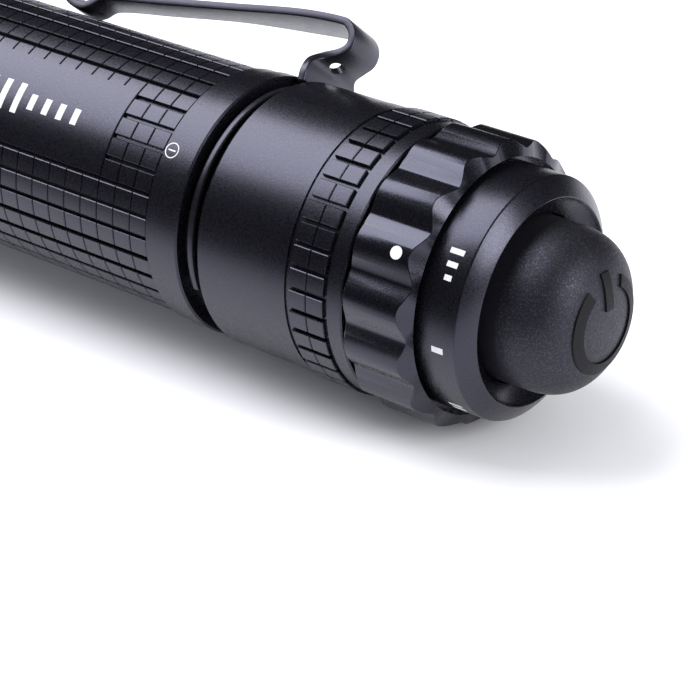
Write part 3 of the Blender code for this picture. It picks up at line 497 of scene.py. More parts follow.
def spun(outline, sides=SIDES, closed=True):
    """Turns an outline round the beam axis; an open one starts and ends on the axis."""
    bm = bmesh.new()
    corners = [bm.verts.new((station, 0.0, radius)) for station, radius in outline]
    edges = [bm.edges.new(pair) for pair in zip(corners, corners[1:])]
    if closed:
        edges.append(bm.edges.new((corners[-1], corners[0])))
    bmesh.ops.spin(bm, geom=corners + edges, axis=(1, 0, 0), cent=(0, 0, 0),
                   angle=math.tau, steps=sides, use_merge=True)
    bmesh.ops.remove_doubles(bm, verts=bm.verts, dist=1e-4)
    bmesh.ops.recalc_face_normals(bm, faces=bm.faces)
    return bm


def around(angle):
    """Turns a shape made at the top of the beam axis to its angle round it."""
    return Matrix.Rotation(-math.radians(angle), 4, "X")


def angle_of(point):
    return math.degrees(math.atan2(point.y, point.z))


def set_radius(vert, radius):
    shift = radius / math.hypot(vert.co.y, vert.co.z)
    vert.co.y *= shift
    vert.co.z *= shift


def piece(name, bm, material, body, nodes=(), sharp=32.0):
    """Puts a drawn shape on the beam axis as a piece that rides on a body."""
    bmesh.ops.transform(bm, matrix=PLACE, verts=bm.verts)
    mesh = bpy.data.meshes.new(name)
    bm.to_mesh(mesh)
    bm.free()
    mesh.shade_smooth()
    mesh.set_sharp_from_angle(angle=math.radians(sharp))
    mesh.materials.append(material)
    made = bpy.data.objects.new(name, mesh)
    bpy.context.collection.objects.link(made)
    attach(made, body)
    if nodes:
        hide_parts(*nodes)
    return made


def raise_regions(bm, faces, height):
    """Lifts groups of faces as tiles with steep walls and a small bevel."""
    bmesh.ops.inset_region(bm, faces=faces, thickness=TILE_WALL, depth=height - TILE_BEVEL,
                           use_even_offset=True)
    bmesh.ops.inset_region(bm, faces=faces, thickness=TILE_BEVEL, depth=TILE_BEVEL,
                           use_even_offset=True)


def tile_step(face, rows):
    """(tile row round the axis, step in it); step 0 is the groove beside the tile."""
    turn = -angle_of(face.calc_center_median()) % 360.0
    step = int(turn / 360.0 * rows * STEPS_PER_TILE)
    return divmod(step, STEPS_PER_TILE)


def on_surface(face, radius):
    centre = face.calc_center_median()
    return abs(math.hypot(centre.y, centre.z) - radius) < 0.02


# ---------------------------------------------------------------- body tube

def thread_rows(start, end, radius):
    """Ridges of a screw thread, as rings a pitch apart."""
    rows = []
    count = int((end - start) / THREAD_PITCH)
    for index in range(count):
        station = start + index * THREAD_PITCH
        rows += [(station, radius - THREAD_DEPTH), (station + THREAD_PITCH * THREAD_RISE, radius),
                 (station + THREAD_PITCH * THREAD_CREST, radius)]
    return rows


def tile_stations():
    """Rear and front station of each tile column on the tube."""
    room = TILE_REAR - (TUBE_FRONT + FRONT_SHOULDER + FRONT_FLANGE)
    return [(TILE_REAR - index * TILE_PITCH, TILE_REAR - (index + 1) * TILE_PITCH + TILE_GROOVE)
            for index in range(int(room / TILE_PITCH))]


def make_body_tube():
    floor = TUBE_WAIST - TUBE_RELIEF
    shoulder = TUBE_FRONT + FRONT_SHOULDER
    ahead = FLANGE - FLANGE_STEP_HEIGHT
    columns = tile_stations()
    outside = [(0.0, THREAD), (0.0, FLANGE - FLANGE_CHAMFER), (-FLANGE_CHAMFER, FLANGE),
               (FLANGE_STEP, FLANGE), (FLANGE_STEP - FLANGE_STEP_LENGTH, ahead),
               (TILE_REAR + TILE_GROOVE + FLANGE_EDGE, ahead),
               (TILE_REAR + TILE_GROOVE, TUBE_WAIST), (TILE_REAR + TILE_GROOVE, floor)]
    for rear, front in columns:
        outside += [(rear, floor), (front, floor)]
    outside += [(columns[-1][1] - TILE_GROOVE, floor), (shoulder + FRONT_FLANGE, FLANGE),
                (shoulder + FRONT_CHAMFER, FLANGE), (shoulder, FLANGE - FRONT_CHAMFER),
                (shoulder, THREAD), (TUBE_FRONT + THREAD_CHAMFER, THREAD),
                (TUBE_FRONT, THREAD - THREAD_CHAMFER), (TUBE_FRONT, BORE),
                (TUBE_REAR, BORE), (TUBE_REAR, THREAD - THREAD_DEPTH)]
    seal_front, seal_rear = SEAL_MIDDLE - SEAL_WIDTH / 2, SEAL_MIDDLE + SEAL_WIDTH / 2
    threads = thread_rows(seal_rear + THREAD_FROM_SEAL, TUBE_REAR - THREAD_END_ROOM, THREAD)
    outside += threads[::-1]
    outside += [(seal_rear, THREAD), (seal_rear, SEAL_FLOOR), (seal_front, SEAL_FLOOR),
                (seal_front, THREAD)]
    bm = spun(outside, TUBE_ROWS * STEPS_PER_TILE)
    raised = []
    for face in bm.faces:
        centre = face.calc_center_median()
        if not on_surface(face, floor) or centre.x > TILE_REAR or centre.x < columns[-1][1]:
            continue
        along, past = divmod(TILE_REAR - centre.x, TILE_PITCH)
        in_tile_column = past < TILE_PITCH - TILE_GROOVE
        row, step = tile_step(face, TUBE_ROWS)
        in_panel = (row < PANEL_ROWS and PANEL_FIRST_COLUMN <= along < PANEL_LAST_COLUMN
                    and not (row == 0 and step == 0))
        if in_panel and (in_tile_column or row > 0 or step > PANEL_TICK_STEPS):
            raised.append(face)
        elif in_tile_column and step > 0:
            raised.append(face)
    raise_regions(bm, raised, TUBE_RELIEF)
    bmesh.ops.transform(bm, matrix=around(TUBE_FIRST_ROW), verts=bm.verts)
    piece("knurled_tube", bm, BODY_BLACK, "light", ["body_tube"])


# ---------------------------------------------------------------- tail cap

def make_tail_cap():
    band_front = BAND_REAR - 2 * BAND_PITCH
    ahead = CAP - CAP_LINE_HEIGHT
    floor = CAP - BAND_SINK
    outline = [(CAP_FRONT, CAP_SOCKET), (CAP_FRONT, ahead - CAP_CHAMFER),
               (CAP_FRONT + CAP_CHAMFER, ahead), (CAP_LINE, ahead),
               (CAP_LINE + CAP_LINE_WIDTH, CAP), (BAND_ZONE[0], CAP),
               (BAND_ZONE[0] + BAND_WALL, floor)]
    for column in range(2):
        start = band_front + column * BAND_PITCH
        outline += [(start, floor), (start + BAND_PITCH - TILE_GROOVE, floor)]
    outline += [(BAND_ZONE[1] - BAND_WALL, floor), (BAND_ZONE[1], CAP)]
    outline += [(CAP_REAR - CAP_REAR_CHAMFER, CAP), (CAP_REAR, CAP - CAP_REAR_CHAMFER),
                (CAP_REAR, CORE), (CORE_STEP, CORE), (CORE_STEP, CORE_THREAD),
                (CORE_REAR, CORE_THREAD), (CORE_REAR, CORE_BORE), (WEB[1], CORE_BORE),
                (WEB[1], WEB_HOLE), (WEB[0], WEB_HOLE), (WEB[0], SWITCH_BORE),
                (SOCKET_FLOOR, SWITCH_BORE), (SOCKET_FLOOR, CAP_SOCKET)]
    bm = spun(outline, BAND_ROWS * STEPS_PER_TILE)
    raised = []
    for face in bm.faces:
        past = face.calc_center_median().x - band_front
        inside = 0 < past < 2 * BAND_PITCH and past % BAND_PITCH < BAND_PITCH - TILE_GROOVE
        if inside and on_surface(face, floor) and tile_step(face, BAND_ROWS)[1] > 0:
            raised.append(face)
    raise_regions(bm, raised, BAND_RELIEF + BAND_SINK)
    bmesh.ops.transform(bm, matrix=around(BAND_FIRST_ROW), verts=bm.verts)
    piece("banded_tail_cap", bm, BODY_BLACK, "tail", ["tail_cap"])


# ---------------------------------------------------------------- mode ring

def flute_radius(angle):
    """Radius of the fluted outside: rounded lands with narrow hollows between them."""
    half = 180.0 / FLUTES
    off_land = abs((angle - RING_LAND_ANGLE + half) % (2 * half) - half)
    height = math.cos(off_land / half * math.pi / 2) ** FLUTE_FULLNESS
    return RING_VALLEY + (RING_LAND - RING_VALLEY) * height


def cone_station(radius):
    """Station at which the ring's rear cone has a radius."""
    for (front, wide), (rear, narrow) in zip(RING_CONE, RING_CONE[1:]):
        if narrow <= radius <= wide:
            return front + (rear - front) * (wide - radius) / (wide - narrow)
    return RING_CONE[0][0]


def make_ring():
    """A plain blank whose outer rows are then moved on to the flutes and the cone."""
    front = RING_FRONT + RING_GAP
    front_edge = front + BLANK_FRONT_EDGE
    body_edge, cone_edge = BLANK_REAR_EDGES
    bm = spun([(front, RING_BORE), (front, RING_LAND - BLANK_DRAFT), (front_edge, RING_LAND),
               (body_edge, RING_LAND), (cone_edge, RING_LAND), RING_CONE[-1],
               (RING_STEP, RING_MOUTH), (RING_STEP, RING_BORE)], FLUTES * FLUTE_STEPS)
    bmesh.ops.transform(bm, matrix=around(RING_LAND_ANGLE), verts=bm.verts)
    for vert in bm.verts:
        station = vert.co.x
        if math.hypot(vert.co.y, vert.co.z) < RING_LAND - BLANK_SKIN:
            continue
        radius = flute_radius(angle_of(vert.co))
        if abs(station - front) < 1e-3:
            radius -= RING_FRONT_CHAMFER * (radius - RING_VALLEY) / (RING_LAND - RING_VALLEY)
        elif abs(station - front_edge) < 1e-3:
            vert.co.x = front + RING_FRONT_CHAMFER
        elif abs(station - body_edge) < 1e-3:
            vert.co.x = cone_station(radius) - RING_EDGE
        elif abs(station - cone_edge) < 1e-3:
            radius -= RING_EDGE
            vert.co.x = cone_station(radius)
        set_radius(vert, radius)
    piece("fluted_ring", bm, RING_BLACK, "mode_ring", ["rotary_ring"],
          sharp=24.0)


# ---------------------------------------------------------------- collar and button

def make_collar():
    rim = COLLAR - COLLAR_RIM
    recess = []
    for step in range(RECESS_STEPS + 1):
        share = step / RECESS_STEPS
        recess.append((COLLAR_REAR - RECESS_DEPTH * share ** RECESS_HOLLOW,
                       rim + (BUTTON_HOLE - rim) * share))
    outline = [(COLLAR_FRONT, COLLAR_BORE), (COLLAR_FRONT, COLLAR),
               (COLLAR_EDGE, COLLAR - COLLAR_TAPER)] + recess + [
        (COLLAR_SEAT, BUTTON_HOLE), (COLLAR_SEAT, COLLAR_BORE)]
    piece("marked_collar", spun(rounded(outline)), BODY_BLACK, "tail",
          ["tail_collar"])


def dome_station(radius):
    """Station of the button's dome at a radius: a full, slightly square dome."""
    share = min(1.0, radius / BUTTON_RADIUS)
    length = BUTTON_REAR - BUTTON_APEX_ROOM - BUTTON_SKIRT_REAR
    return BUTTON_SKIRT_REAR + length * (1.0 - share ** BUTTON_FULLNESS) ** (1 / BUTTON_FULLNESS)


def make_button():
    dome = []
    for step in range(DOME_STEPS + 1):
        turn = step / DOME_STEPS * math.pi / 2
        radius = BUTTON_RADIUS * math.cos(turn) ** (2 / BUTTON_FULLNESS)
        dome.append((dome_station(radius), radius))
    dome[-1] = (dome[-1][0], 0.0)
    inner = BUTTON_RADIUS - BUTTON_WALL
    boss, roof = BUTTON_REAR - BUTTON_BOSS_DEPTH, BUTTON_REAR - BUTTON_ROOF_DEPTH
    flange, flange_rear = BUTTON_RADIUS + BUTTON_FLANGE, BUTTON_FRONT + BUTTON_FLANGE_LENGTH
    outline = [(boss, 0.0), (boss, BUTTON_BOSS), (roof, BUTTON_BOSS), (roof, inner - BUTTON_ROOF),
               (BUTTON_REAR - BUTTON_HAUNCH_DEPTH, inner), (BUTTON_FRONT, inner),
               (BUTTON_FRONT, flange), (flange_rear, flange), (flange_rear, BUTTON_RADIUS)]
    piece("domed_button", spun(outline + dome, 144, closed=False), BUTTON_RUBBER, "button",
          ["rubber_button"], sharp=50.0)


def make_button_symbol():
    """A raised ring with a gap and a bar in it, lying on the dome."""
    bm = bmesh.new()
    half = SYMBOL_WIDTH / 2
    flat = [bm.verts.new((0.0, 0.0, SYMBOL_RADIUS + side)) for side in (-half, 0.0, half)]
    edges = [bm.edges.new(pair) for pair in zip(flat, flat[1:])]
    bmesh.ops.rotate(bm, verts=flat, cent=(0, 0, 0),
                     matrix=Matrix.Rotation(math.radians(SYMBOL_GAP), 3, "X"))
    bmesh.ops.spin(bm, geom=flat + edges, axis=(1, 0, 0), cent=(0, 0, 0),
                   angle=math.radians(360.0 - 2 * SYMBOL_GAP), steps=48)
    bar = bmesh.ops.create_grid(bm, x_segments=2, y_segments=8, size=0.5)["verts"]
    bmesh.ops.scale(bm, vec=(SYMBOL_WIDTH, SYMBOL_BAR, 1.0), verts=bar)
    bmesh.ops.rotate(bm, verts=bar, cent=(0, 0, 0), matrix=Matrix.Rotation(math.pi / 2, 3, "Y"))
    bmesh.ops.rotate(bm, verts=bar, cent=(0, 0, 0), matrix=Matrix.Rotation(math.pi / 2, 3, "X"))
    bmesh.ops.translate(bm, vec=(0.0, 0.0, SYMBOL_RADIUS - SYMBOL_BAR / 4), verts=bar)
    walls = bmesh.ops.extrude_face_region(bm, geom=list(bm.faces))["geom"]
    lifted = {v for v in walls if isinstance(v, bmesh.types.BMVert)}
    for vert in bm.verts:
        proud = SYMBOL_PROUD if vert in lifted else -SYMBOL_SINK
        vert.co.x = dome_station(math.hypot(vert.co.y, vert.co.z)) + proud
    bmesh.ops.recalc_face_normals(bm, faces=bm.faces)
    piece("button_symbol", bm, SYMBOL_RUBBER, "button", sharp=50.0)


# ---------------------------------------------------------------- pocket clip

CLIP_ANGLE = 40.0
CLIP_THICKNESS = 0.8
CLIP_RING = (11.45, 11.95)
CLIP_RING_ENDS = (0.6, 1.35)
CLIP_RING_SWEEP = 300.0
CLIP_RING_FILLET = 0.2
CLIP_EDGE = 0.14
CLIP_CORNER = 60.0
HOLE_RADIUS = 0.65
HOLE_STRETCH = 1.6
HOLE_TILT = -56.0
HOLE_MIDDLE = (1.15, -0.6, 14.95)
HOLE_CUTTER_LENGTH = 4.0
# Middle line of the strip as (station, height above the beam axis, width).
CLIP_LINE = (
    (1.15, 11.7, 9.4), (0.9, 13.0, 9.4), (0.7, 14.1, 8.2), (1.15, 15.0, 6.2),
    (2.2, 15.85, 5.1), (2.9, 16.7, 4.9), (2.8, 17.8, 4.9), (1.95, 18.68, 4.9),
    (0.6, 18.93, 4.9), (-4.35, 18.5, 4.9), (-12.85, 17.3, 3.4), (-21.85, 15.75, 3.4),
    (-25.85, 15.1, 3.4),
    (-28.45, 14.5, 3.4), (-29.65, 13.5, 3.4), (-30.85, 13.1, 3.4), (-32.45, 13.5, 3.4),
    (-35.05, 15.2, 3.4),
)


def curve_through(points, steps):
    """Catmull-Rom curve through points, each a tuple of numbers."""
    rows = [Vector(p) for p in points]
    rows = [rows[0] * 2 - rows[1]] + rows + [rows[-1] * 2 - rows[-2]]
    smooth = []
    for a, b, c, d in zip(rows, rows[1:], rows[2:], rows[3:]):
        for step in range(steps):
            t = step / steps
            smooth.append((b * 2 + (c - a) * t + (a * 2 - b * 5 + c * 4 - d) * t ** 2
                           + (b * 3 - a - c * 3 + d) * t ** 3) / 2)
    return smooth + [rows[-2]]


def make_clip():
    bm = bmesh.new()
    rows = []
    for station, height, width in curve_through(CLIP_LINE, 8):
        rows.append([bm.verts.new((station, side * width / 2, height)) for side in (-1, 1)])
    strip = [bm.faces.new((a[0], a[1], b[1], b[0])) for a, b in zip(rows, rows[1:])]
    bm.normal_update()
    for corner in bm.verts:
        corner.co += corner.normal * CLIP_THICKNESS / 2
    bmesh.ops.solidify(bm, geom=strip, thickness=CLIP_THICKNESS)
    bmesh.ops.recalc_face_normals(bm, faces=bm.faces)
    sharp = [edge for edge in bm.edges if edge.calc_face_angle(0.0) > math.radians(CLIP_CORNER)]
    bmesh.ops.bevel(bm, geom=sharp, offset=CLIP_EDGE, offset_type="OFFSET", segments=3,
                    profile=0.5, affect="EDGES", clamp_overlap=True, material=-1)
    strip_verts = list(bm.verts)

    front, rear = CLIP_RING_ENDS
    section = [bm.verts.new((station, 0.0, radius)) for station, radius in rounded(
        [(front, CLIP_RING[0]), (front, CLIP_RING[1]), (rear, CLIP_RING[1]),
         (rear, CLIP_RING[0])], CLIP_RING_FILLET)]
    face = bm.faces.new(section)
    bmesh.ops.rotate(bm, verts=section, cent=(0, 0, 0),
                     matrix=Matrix.Rotation(math.radians(-CLIP_RING_SWEEP / 2), 3, "X"))
    bmesh.ops.spin(bm, geom=section + [face] + list(face.edges), axis=(1, 0, 0), cent=(0, 0, 0),
                   angle=math.radians(CLIP_RING_SWEEP), steps=120)
    ring_verts = [vert for vert in bm.verts if vert not in set(strip_verts)]
    bmesh.ops.remove_doubles(bm, verts=ring_verts, dist=1e-4)
    bmesh.ops.recalc_face_normals(bm, faces=bm.faces)
    bmesh.ops.transform(bm, matrix=around(CLIP_ANGLE), verts=bm.verts)
    clip = piece("spring_clip", bm, CLIP_BLACK, "clip", ["pocket_clip"],
                 sharp=40.0)

    bm = bmesh.new()
    bmesh.ops.create_cone(bm, cap_ends=True, segments=32, radius1=HOLE_RADIUS,
                          radius2=HOLE_RADIUS, depth=HOLE_CUTTER_LENGTH)
    bmesh.ops.scale(bm, vec=(1.0, HOLE_STRETCH, 1.0), verts=bm.verts)
    bmesh.ops.rotate(bm, verts=bm.verts, cent=(0, 0, 0),
                     matrix=Matrix.Rotation(math.radians(HOLE_TILT), 3, "Y"))
    bmesh.ops.translate(bm, vec=HOLE_MIDDLE, verts=bm.verts)
    bmesh.ops.transform(bm, matrix=around(CLIP_ANGLE), verts=bm.verts)
    bmesh.ops.transform(bm, matrix=PLACE, verts=bm.verts)
    mesh = bpy.data.meshes.new("lanyard_hole")
    bm.to_mesh(mesh)
    bm.free()
    hole = bpy.data.objects.new("lanyard_hole", mesh)
    bpy.context.collection.objects.link(hole)
    hole.hide_render = True
    hole.display_type = "WIRE"
    cut = clip.modifiers.new("lanyard_hole", "BOOLEAN")
    cut.operation = "DIFFERENCE"
    cut.solver = "EXACT"
    cut.object = hole


# ---------------------------------------------------------------- head and bezel

def flat_radius(angle):
    """Radius of the six-sided facet band with round corners."""
    off = (angle + 180.0 / FLAT_COUNT) % (360.0 / FLAT_COUNT) - 180.0 / FLAT_COUNT
    return min(HEAD_CORNER, FLAT_HEIGHT / math.cos(math.radians(off)))


def make_head():
    band_front = HEAD_FRONT + FACET_BAND_FROM_FRONT
    band_rear = band_front + FACET_BAND_LENGTH
    neck_front = HEAD_REAR - NECK_LENGTH
    outside = [(HEAD_REAR, CAP_SOCKET), (HEAD_REAR, NECK - NECK_CHAMFER),
               (HEAD_REAR - NECK_CHAMFER, NECK), (neck_front, NECK)]
    station = neck_front - FINS_FROM_NECK
    for _ in range(FIN_COUNT):
        fin_front = station - FIN_LENGTH
        outside += [(station, FIN_TIP), (fin_front, FIN_TIP), (fin_front, FIN_ROOT)]
        station -= FIN_PITCH
        outside.append((station, FIN_ROOT))
    outside = rounded(outside + [(station, FIN_TIP)], HEAD_FILLET)[:-4]
    outside += [(station, FIN_TIP - HEAD_FILLET), (station - HEAD_FILLET, FIN_TIP),
                (band_rear + FACET_CHAMFER, FIN_TIP), (band_rear, HEAD_CORNER),
                (band_front, HEAD_CORNER), (band_front - FACET_CHAMFER, FIN_TIP),
                (HEAD_FRONT + HEAD_EDGE, FIN_TIP), (HEAD_FRONT, FIN_TIP - HEAD_EDGE),
                (HEAD_FRONT, BEZEL_SOCKET), (HEAD_FRONT + BEZEL_SOCKET_DEPTH, BEZEL_SOCKET),
                (HEAD_FRONT + BEZEL_SOCKET_DEPTH, HEAD_BORE), (SHELF[0], HEAD_BORE),
                (SHELF[0], SHELF_HOLE), (SHELF[1], SHELF_HOLE), (SHELF[1], DRIVER_BORE),
                (TUBE_FRONT - TUBE_ROOM, DRIVER_BORE), (TUBE_FRONT - TUBE_ROOM, CAP_SOCKET)]
    bm = spun(outside, HEAD_SIDES)
    for vert in bm.verts:
        if math.hypot(vert.co.y, vert.co.z) < HEAD_CORNER - 0.05:
            continue
        radius = flat_radius(angle_of(vert.co))
        spare = FACET_CHAMFER * (HEAD_CORNER - radius) / (HEAD_CORNER - FIN_TIP)
        vert.co.x += spare if abs(vert.co.x - band_rear) < 1e-3 else -spare
        set_radius(vert, radius)
    piece("faceted_head", bm, BODY_BLACK, "light", ["head_housing"],
          sharp=25.0)


def make_bezel():
    lip_rear = BEZEL_FRONT + BEZEL_LIP
    tooth_root = BEZEL_FRONT + BEZEL_TOOTH_ROOT
    inner = BEZEL - BEZEL_EDGE - BEZEL_WALL
    bm = spun([(BEZEL_FRONT, inner + BEZEL_BORE_EDGE), (BEZEL_FRONT, BEZEL - BEZEL_EDGE),
               (BEZEL_FRONT + BEZEL_EDGE, BEZEL), (tooth_root, BEZEL),
               (BEZEL_SKIRT_TOP - BEZEL_REAR_CHAMFER, BEZEL),
               (BEZEL_SKIRT_TOP, BEZEL - BEZEL_REAR_CHAMFER),
               (BEZEL_SKIRT_TOP, BEZEL_SKIRT_RADIUS), (BEZEL_SKIRT, BEZEL_SKIRT_RADIUS),
               (BEZEL_SKIRT, BEZEL_SKIRT_BORE), (lip_rear, BEZEL_SKIRT_BORE), (lip_rear, inner),
               (tooth_root, inner), (BEZEL_FRONT + BEZEL_BORE_EDGE, inner)], BEZEL_SIDES)
    period = 360.0 / NOTCH_COUNT
    for vert in bm.verts:
        if vert.co.x > BEZEL_FRONT + BEZEL_FRONT_ROWS:
            continue
        off = angle_of(vert.co) % period - period / 2
        across = abs(math.sin(math.radians(off))) * math.hypot(vert.co.y, vert.co.z)
        if across < NOTCH_HALF_WIDTH:
            vert.co.x += NOTCH_DEPTH
    piece("strike_bezel", bm, BODY_BLACK, "light", ["bezel_ring"], sharp=25.0)
    for index in range(3):
        node = f"glass_breaker_bead_{index + 1}"
        low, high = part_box(node)
        bm = bmesh.new()
        bmesh.ops.create_uvsphere(bm, u_segments=32, v_segments=20,
                                  radius=(high[0] - low[0]) / 2 / MM)
        middle = PLACE.inverted() @ ((Vector(low) + Vector(high)) / 2)
        bmesh.ops.translate(bm, vec=middle, verts=bm.verts)
        piece(f"striking_bead_{index + 1}", bm, CERAMIC, "light", [node])


def make_reflector():
    growth = (BOWL_MOUTH ** 2 - BOWL_HOLE ** 2) / (BOWL_REAR - BOWL_FRONT)
    bowl = []
    for step in range(BOWL_STEPS + 1):
        depth = (BOWL_REAR - BOWL_FRONT) * step / BOWL_STEPS
        bowl.append((BOWL_REAR - depth, math.sqrt(BOWL_HOLE ** 2 + growth * depth)))
    outline = bowl + [(BOWL_FRONT, BOWL_RIM), (BOWL_FRONT + BOWL_RIM_LENGTH, BOWL_RIM),
                      (BOWL_REAR - BOWL_NECK_LENGTH, BOWL_NECK), (BOWL_REAR, BOWL_NECK)]
    piece("mirror_bowl", spun(outline, 144), MIRROR, "light", ["reflector"])


def make_contact_spring():
    """The tail's contact spring, a tapering coil of round wire."""
    low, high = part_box("negative_spring")
    start, end = (low[0] - SHOULDER) / MM + COIL_WIRE, (high[0] - SHOULDER) / MM - COIL_WIRE
    curve = bpy.data.curves.new("contact_spring", "CURVE")
    curve.dimensions = "3D"
    curve.bevel_depth = COIL_WIRE * MM
    curve.bevel_resolution = 3
    curve.use_fill_caps = True
    spline = curve.splines.new("POLY")
    count = COIL_POINTS * COIL_TURNS
    spline.points.add(count)
    for index, point in enumerate(spline.points):
        share = index / count
        turn = share * COIL_TURNS * math.tau
        radius = COIL_FRONT_RADIUS + COIL_TAPER * share
        place = PLACE @ Vector((start + (end - start) * share, radius * math.sin(turn),
                                radius * math.cos(turn)))
        point.co = (*place, 1.0)
    curve.materials.append(BRIGHT_STEEL)
    made = bpy.data.objects.new("contact_spring", curve)
    bpy.context.collection.objects.link(made)
    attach(made, "tail")
    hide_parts("negative_spring")


# ---------------------------------------------------------------- white marks

PAINT_PROUD = 0.025
DOT_RADIUS = 0.6
DOT_STATION = 24.8
THREE_BARS = ((1.2, 1.46), (0.0, 1.1), (-1.2, 0.74))
BAR_WIDTH = 0.5
RING_MARK_RADII = (0.67, 0.77)
PANEL_MARK_REAR = -15.6
PANEL_BAR_PITCH = 1.9
PANEL_BAR_WIDTH = 0.75
PANEL_BARS = (1.6, 1.6, 1.6, 1.6, 3.1, 3.1, 3.1, 3.1, 3.1, 3.1)


def wrap_mark(name, bm, radius, angle, station, body):
    """Lays a flat mark, drawn as (along, round), on a cylinder and gives it a thin body."""
    bmesh.ops.subdivide_edges(bm, edges=[e for e in bm.edges if e.calc_length() > 0.3], cuts=3,
                              use_grid_fill=True)
    walls = bmesh.ops.extrude_face_region(bm, geom=list(bm.faces))["geom"]
    lifted = {v for v in walls if isinstance(v, bmesh.types.BMVert)}
    for vert in bm.verts:
        height = radius + (PAINT_PROUD if vert in lifted else -PAINT_PROUD)
        turn = math.radians(angle) + vert.co.y / radius
        vert.co = (station + vert.co.x, height * math.sin(turn), height * math.cos(turn))
    bmesh.ops.recalc_face_normals(bm, faces=bm.faces)
    piece(name, bm, MARK_PAINT, body)


def bar(bm, along, round_, at=(0.0, 0.0)):
    made = bmesh.ops.create_grid(bm, x_segments=1, y_segments=1, size=0.5)["verts"]
    bmesh.ops.scale(bm, vec=(along, round_, 1.0), verts=made)
    bmesh.ops.translate(bm, vec=(*at, 0.0), verts=made)


def collar_radius(station):
    """Radius of the collar's slightly tapered outside."""
    share = (station - COLLAR_FRONT) / (COLLAR_EDGE - COLLAR_FRONT)
    return COLLAR - COLLAR_TAPER * share


def make_marks():
    bm = bmesh.new()
    bmesh.ops.create_circle(bm, cap_ends=True, cap_tris=True, segments=32, radius=DOT_RADIUS)
    wrap_mark("ring_dot", bm, RING_LAND, RING_LAND_ANGLE, DOT_STATION, "mode_ring")

    bm = bmesh.new()
    for offset, length in THREE_BARS:
        bar(bm, length, BAR_WIDTH, (0.0, offset))
    wrap_mark("collar_mark_three_bars", bm, collar_radius(29.25), -55.8, 29.25, "tail")
    bm = bmesh.new()
    bar(bm, 1.2, 0.58)
    wrap_mark("collar_mark_one_bar", bm, collar_radius(29.2), -95.4, 29.2, "tail")
    bm = bmesh.new()
    for offset in (-0.42, 0.42):
        bar(bm, 1.4, 0.4, (0.0, offset))
    wrap_mark("collar_mark_two_bars", bm, collar_radius(29.1), -135.0, 29.1, "tail")

    bm = bmesh.new()
    rings = []
    for radius in RING_MARK_RADII:
        verts = bmesh.ops.create_circle(bm, segments=32, radius=radius)["verts"]
        rings += [edge for edge in bm.edges if edge.verts[0] in verts]
    bmesh.ops.bridge_loops(bm, edges=list(set(rings)))
    bar(bm, 0.85, 0.13)
    wrap_mark("tube_ring_mark", bm, FLANGE - FLANGE_STEP_HEIGHT, -49.0, -3.0, "light")

    bm = bmesh.new()
    for index, height in enumerate(PANEL_BARS):
        bar(bm, PANEL_BAR_WIDTH, height, (-index * PANEL_BAR_PITCH, 0.0))
    wrap_mark("panel_mark", bm, TUBE_WAIST, -48.5, PANEL_MARK_REAR, "light")


# ---------------------------------------------------------------- floor, light, camera

FLOOR_HINGE = -0.0486
RING_LOWEST = (0.0565, 0.00155)
FLOOR_SIZE = 3.0
FLOOR_GAP = 0.00002
FLOOR_FADE = (-0.028, -0.075)
SKY_FILL = 0.8
SKY_SHEEN = 0.03
CAMERA_FROM_SHOULDER = (0.1536, -0.1771, 0.1077)
CAMERA_LOOK = (-0.5569, 0.6884, -0.4650)
CAMERA_LENS = 139.4
SENSOR_WIDTH = 36.0


def floor_white():
    """White in itself, but its reflection in the part fades a little way off."""
    f = Finish("floor_white")
    mirrored = f.node("ShaderNodeLightPath", output="Is Glossy Ray")
    across = f.node("ShaderNodeSeparateXYZ", None, {"Vector": f.place}, "Y")
    far = f.node("ShaderNodeMapRange", None, {"Value": across, "From Min": FLOOR_FADE[0],
                                              "From Max": FLOOR_FADE[1]})
    return f.put(Base_Color=f.blend(mirrored * far, (0.90, 0.90, 0.90), (0.03, 0.03, 0.03)),
                 Roughness=0.7, Specular_IOR_Level=0.2)


def make_floor():
    """A pale floor that touches both the head's flat and the mode ring."""
    slope = RING_LOWEST[1] / (RING_LOWEST[0] - FLOOR_HINGE)
    bm = bmesh.new()
    bmesh.ops.create_grid(bm, x_segments=1, y_segments=1, size=FLOOR_SIZE)
    for vert in bm.verts:
        vert.co.z = (vert.co.x - FLOOR_HINGE) * slope - FLOOR_GAP
    mesh = bpy.data.meshes.new("floor")
    bm.to_mesh(mesh)
    bm.free()
    mesh.materials.append(floor_white())
    floor = bpy.data.objects.new("floor", mesh)
    bpy.context.collection.objects.link(floor)


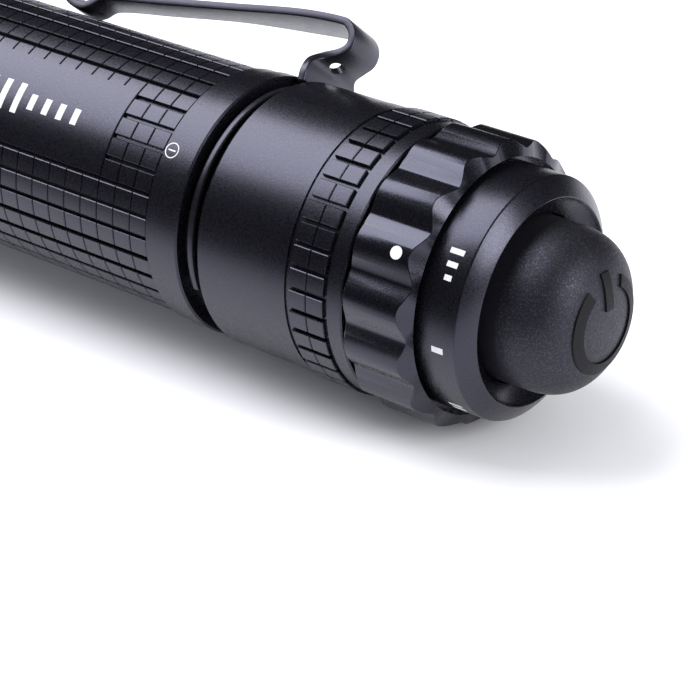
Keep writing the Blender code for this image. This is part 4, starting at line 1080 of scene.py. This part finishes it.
def softbox(name, direction, distance, size, power):
    light = bpy.data.lights.new(name, "AREA")
    light.shape = "RECTANGLE"
    light.size, light.size_y = size
    light.energy = power
    lamp = bpy.data.objects.new(name, light)
    bpy.context.collection.objects.link(lamp)
    away = Vector(direction).normalized()
    lamp.location = Vector((SHOULDER, 0.0, AXIS)) + away * distance
    lamp.rotation_euler = (-away).to_track_quat("-Z", "Y").to_euler()
    return lamp


def make_light():
    world = bpy.data.worlds.new("studio")
    world.use_nodes = True
    world.node_tree.nodes["Background"].inputs["Color"].default_value = (0.9, 0.92, 1.0, 1.0)
    world.cycles.sampling_method = "NONE"
    tree = world.node_tree
    mirrored = tree.nodes.new("ShaderNodeLightPath").outputs["Is Glossy Ray"]
    strength = tree.nodes.new("ShaderNodeMapRange")
    strength.inputs["To Min"].default_value = SKY_FILL
    strength.inputs["To Max"].default_value = SKY_SHEEN
    tree.links.new(mirrored, strength.inputs["Value"])
    tree.links.new(strength.outputs["Result"], tree.nodes["Background"].inputs["Strength"])
    bpy.context.scene.world = world
    overhead = softbox("overhead_softbox", direction=(-0.56, -0.13, 0.82), distance=0.70,
                       size=(0.56, 0.60), power=6.6)
    overhead.data.color = (0.95, 0.95, 1.0)
    softbox("tail_softbox", direction=(0.89, 0.07, 0.44), distance=0.80, size=(0.40, 0.40),
            power=4.6)
    bpy.context.scene.view_settings.view_transform = "Standard"


def make_camera():
    camera = bpy.data.cameras.new("camera")
    camera.lens = CAMERA_LENS
    camera.sensor_width = SENSOR_WIDTH
    camera.clip_start = 0.01
    shot = bpy.data.objects.new("camera", camera)
    bpy.context.collection.objects.link(shot)
    shot.location = Vector((SHOULDER, 0.0, AXIS)) + Vector(CAMERA_FROM_SHOULDER)
    shot.rotation_mode = "QUATERNION"
    shot.rotation_quaternion = Vector(CAMERA_LOOK).to_track_quat("-Z", "Y")
    bpy.context.scene.camera = shot


def dress_kept_nodes():
    for material, names in KEPT_NODES.items():
        for name in names:
            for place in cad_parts[name].material_slots:
                place.material = material


dress_kept_nodes()
make_body_tube()
make_tail_cap()
make_ring()
make_collar()
make_button()
make_button_symbol()
make_clip()
make_head()
make_bezel()
make_reflector()
make_contact_spring()
make_marks()
make_floor()
make_light()
make_camera()
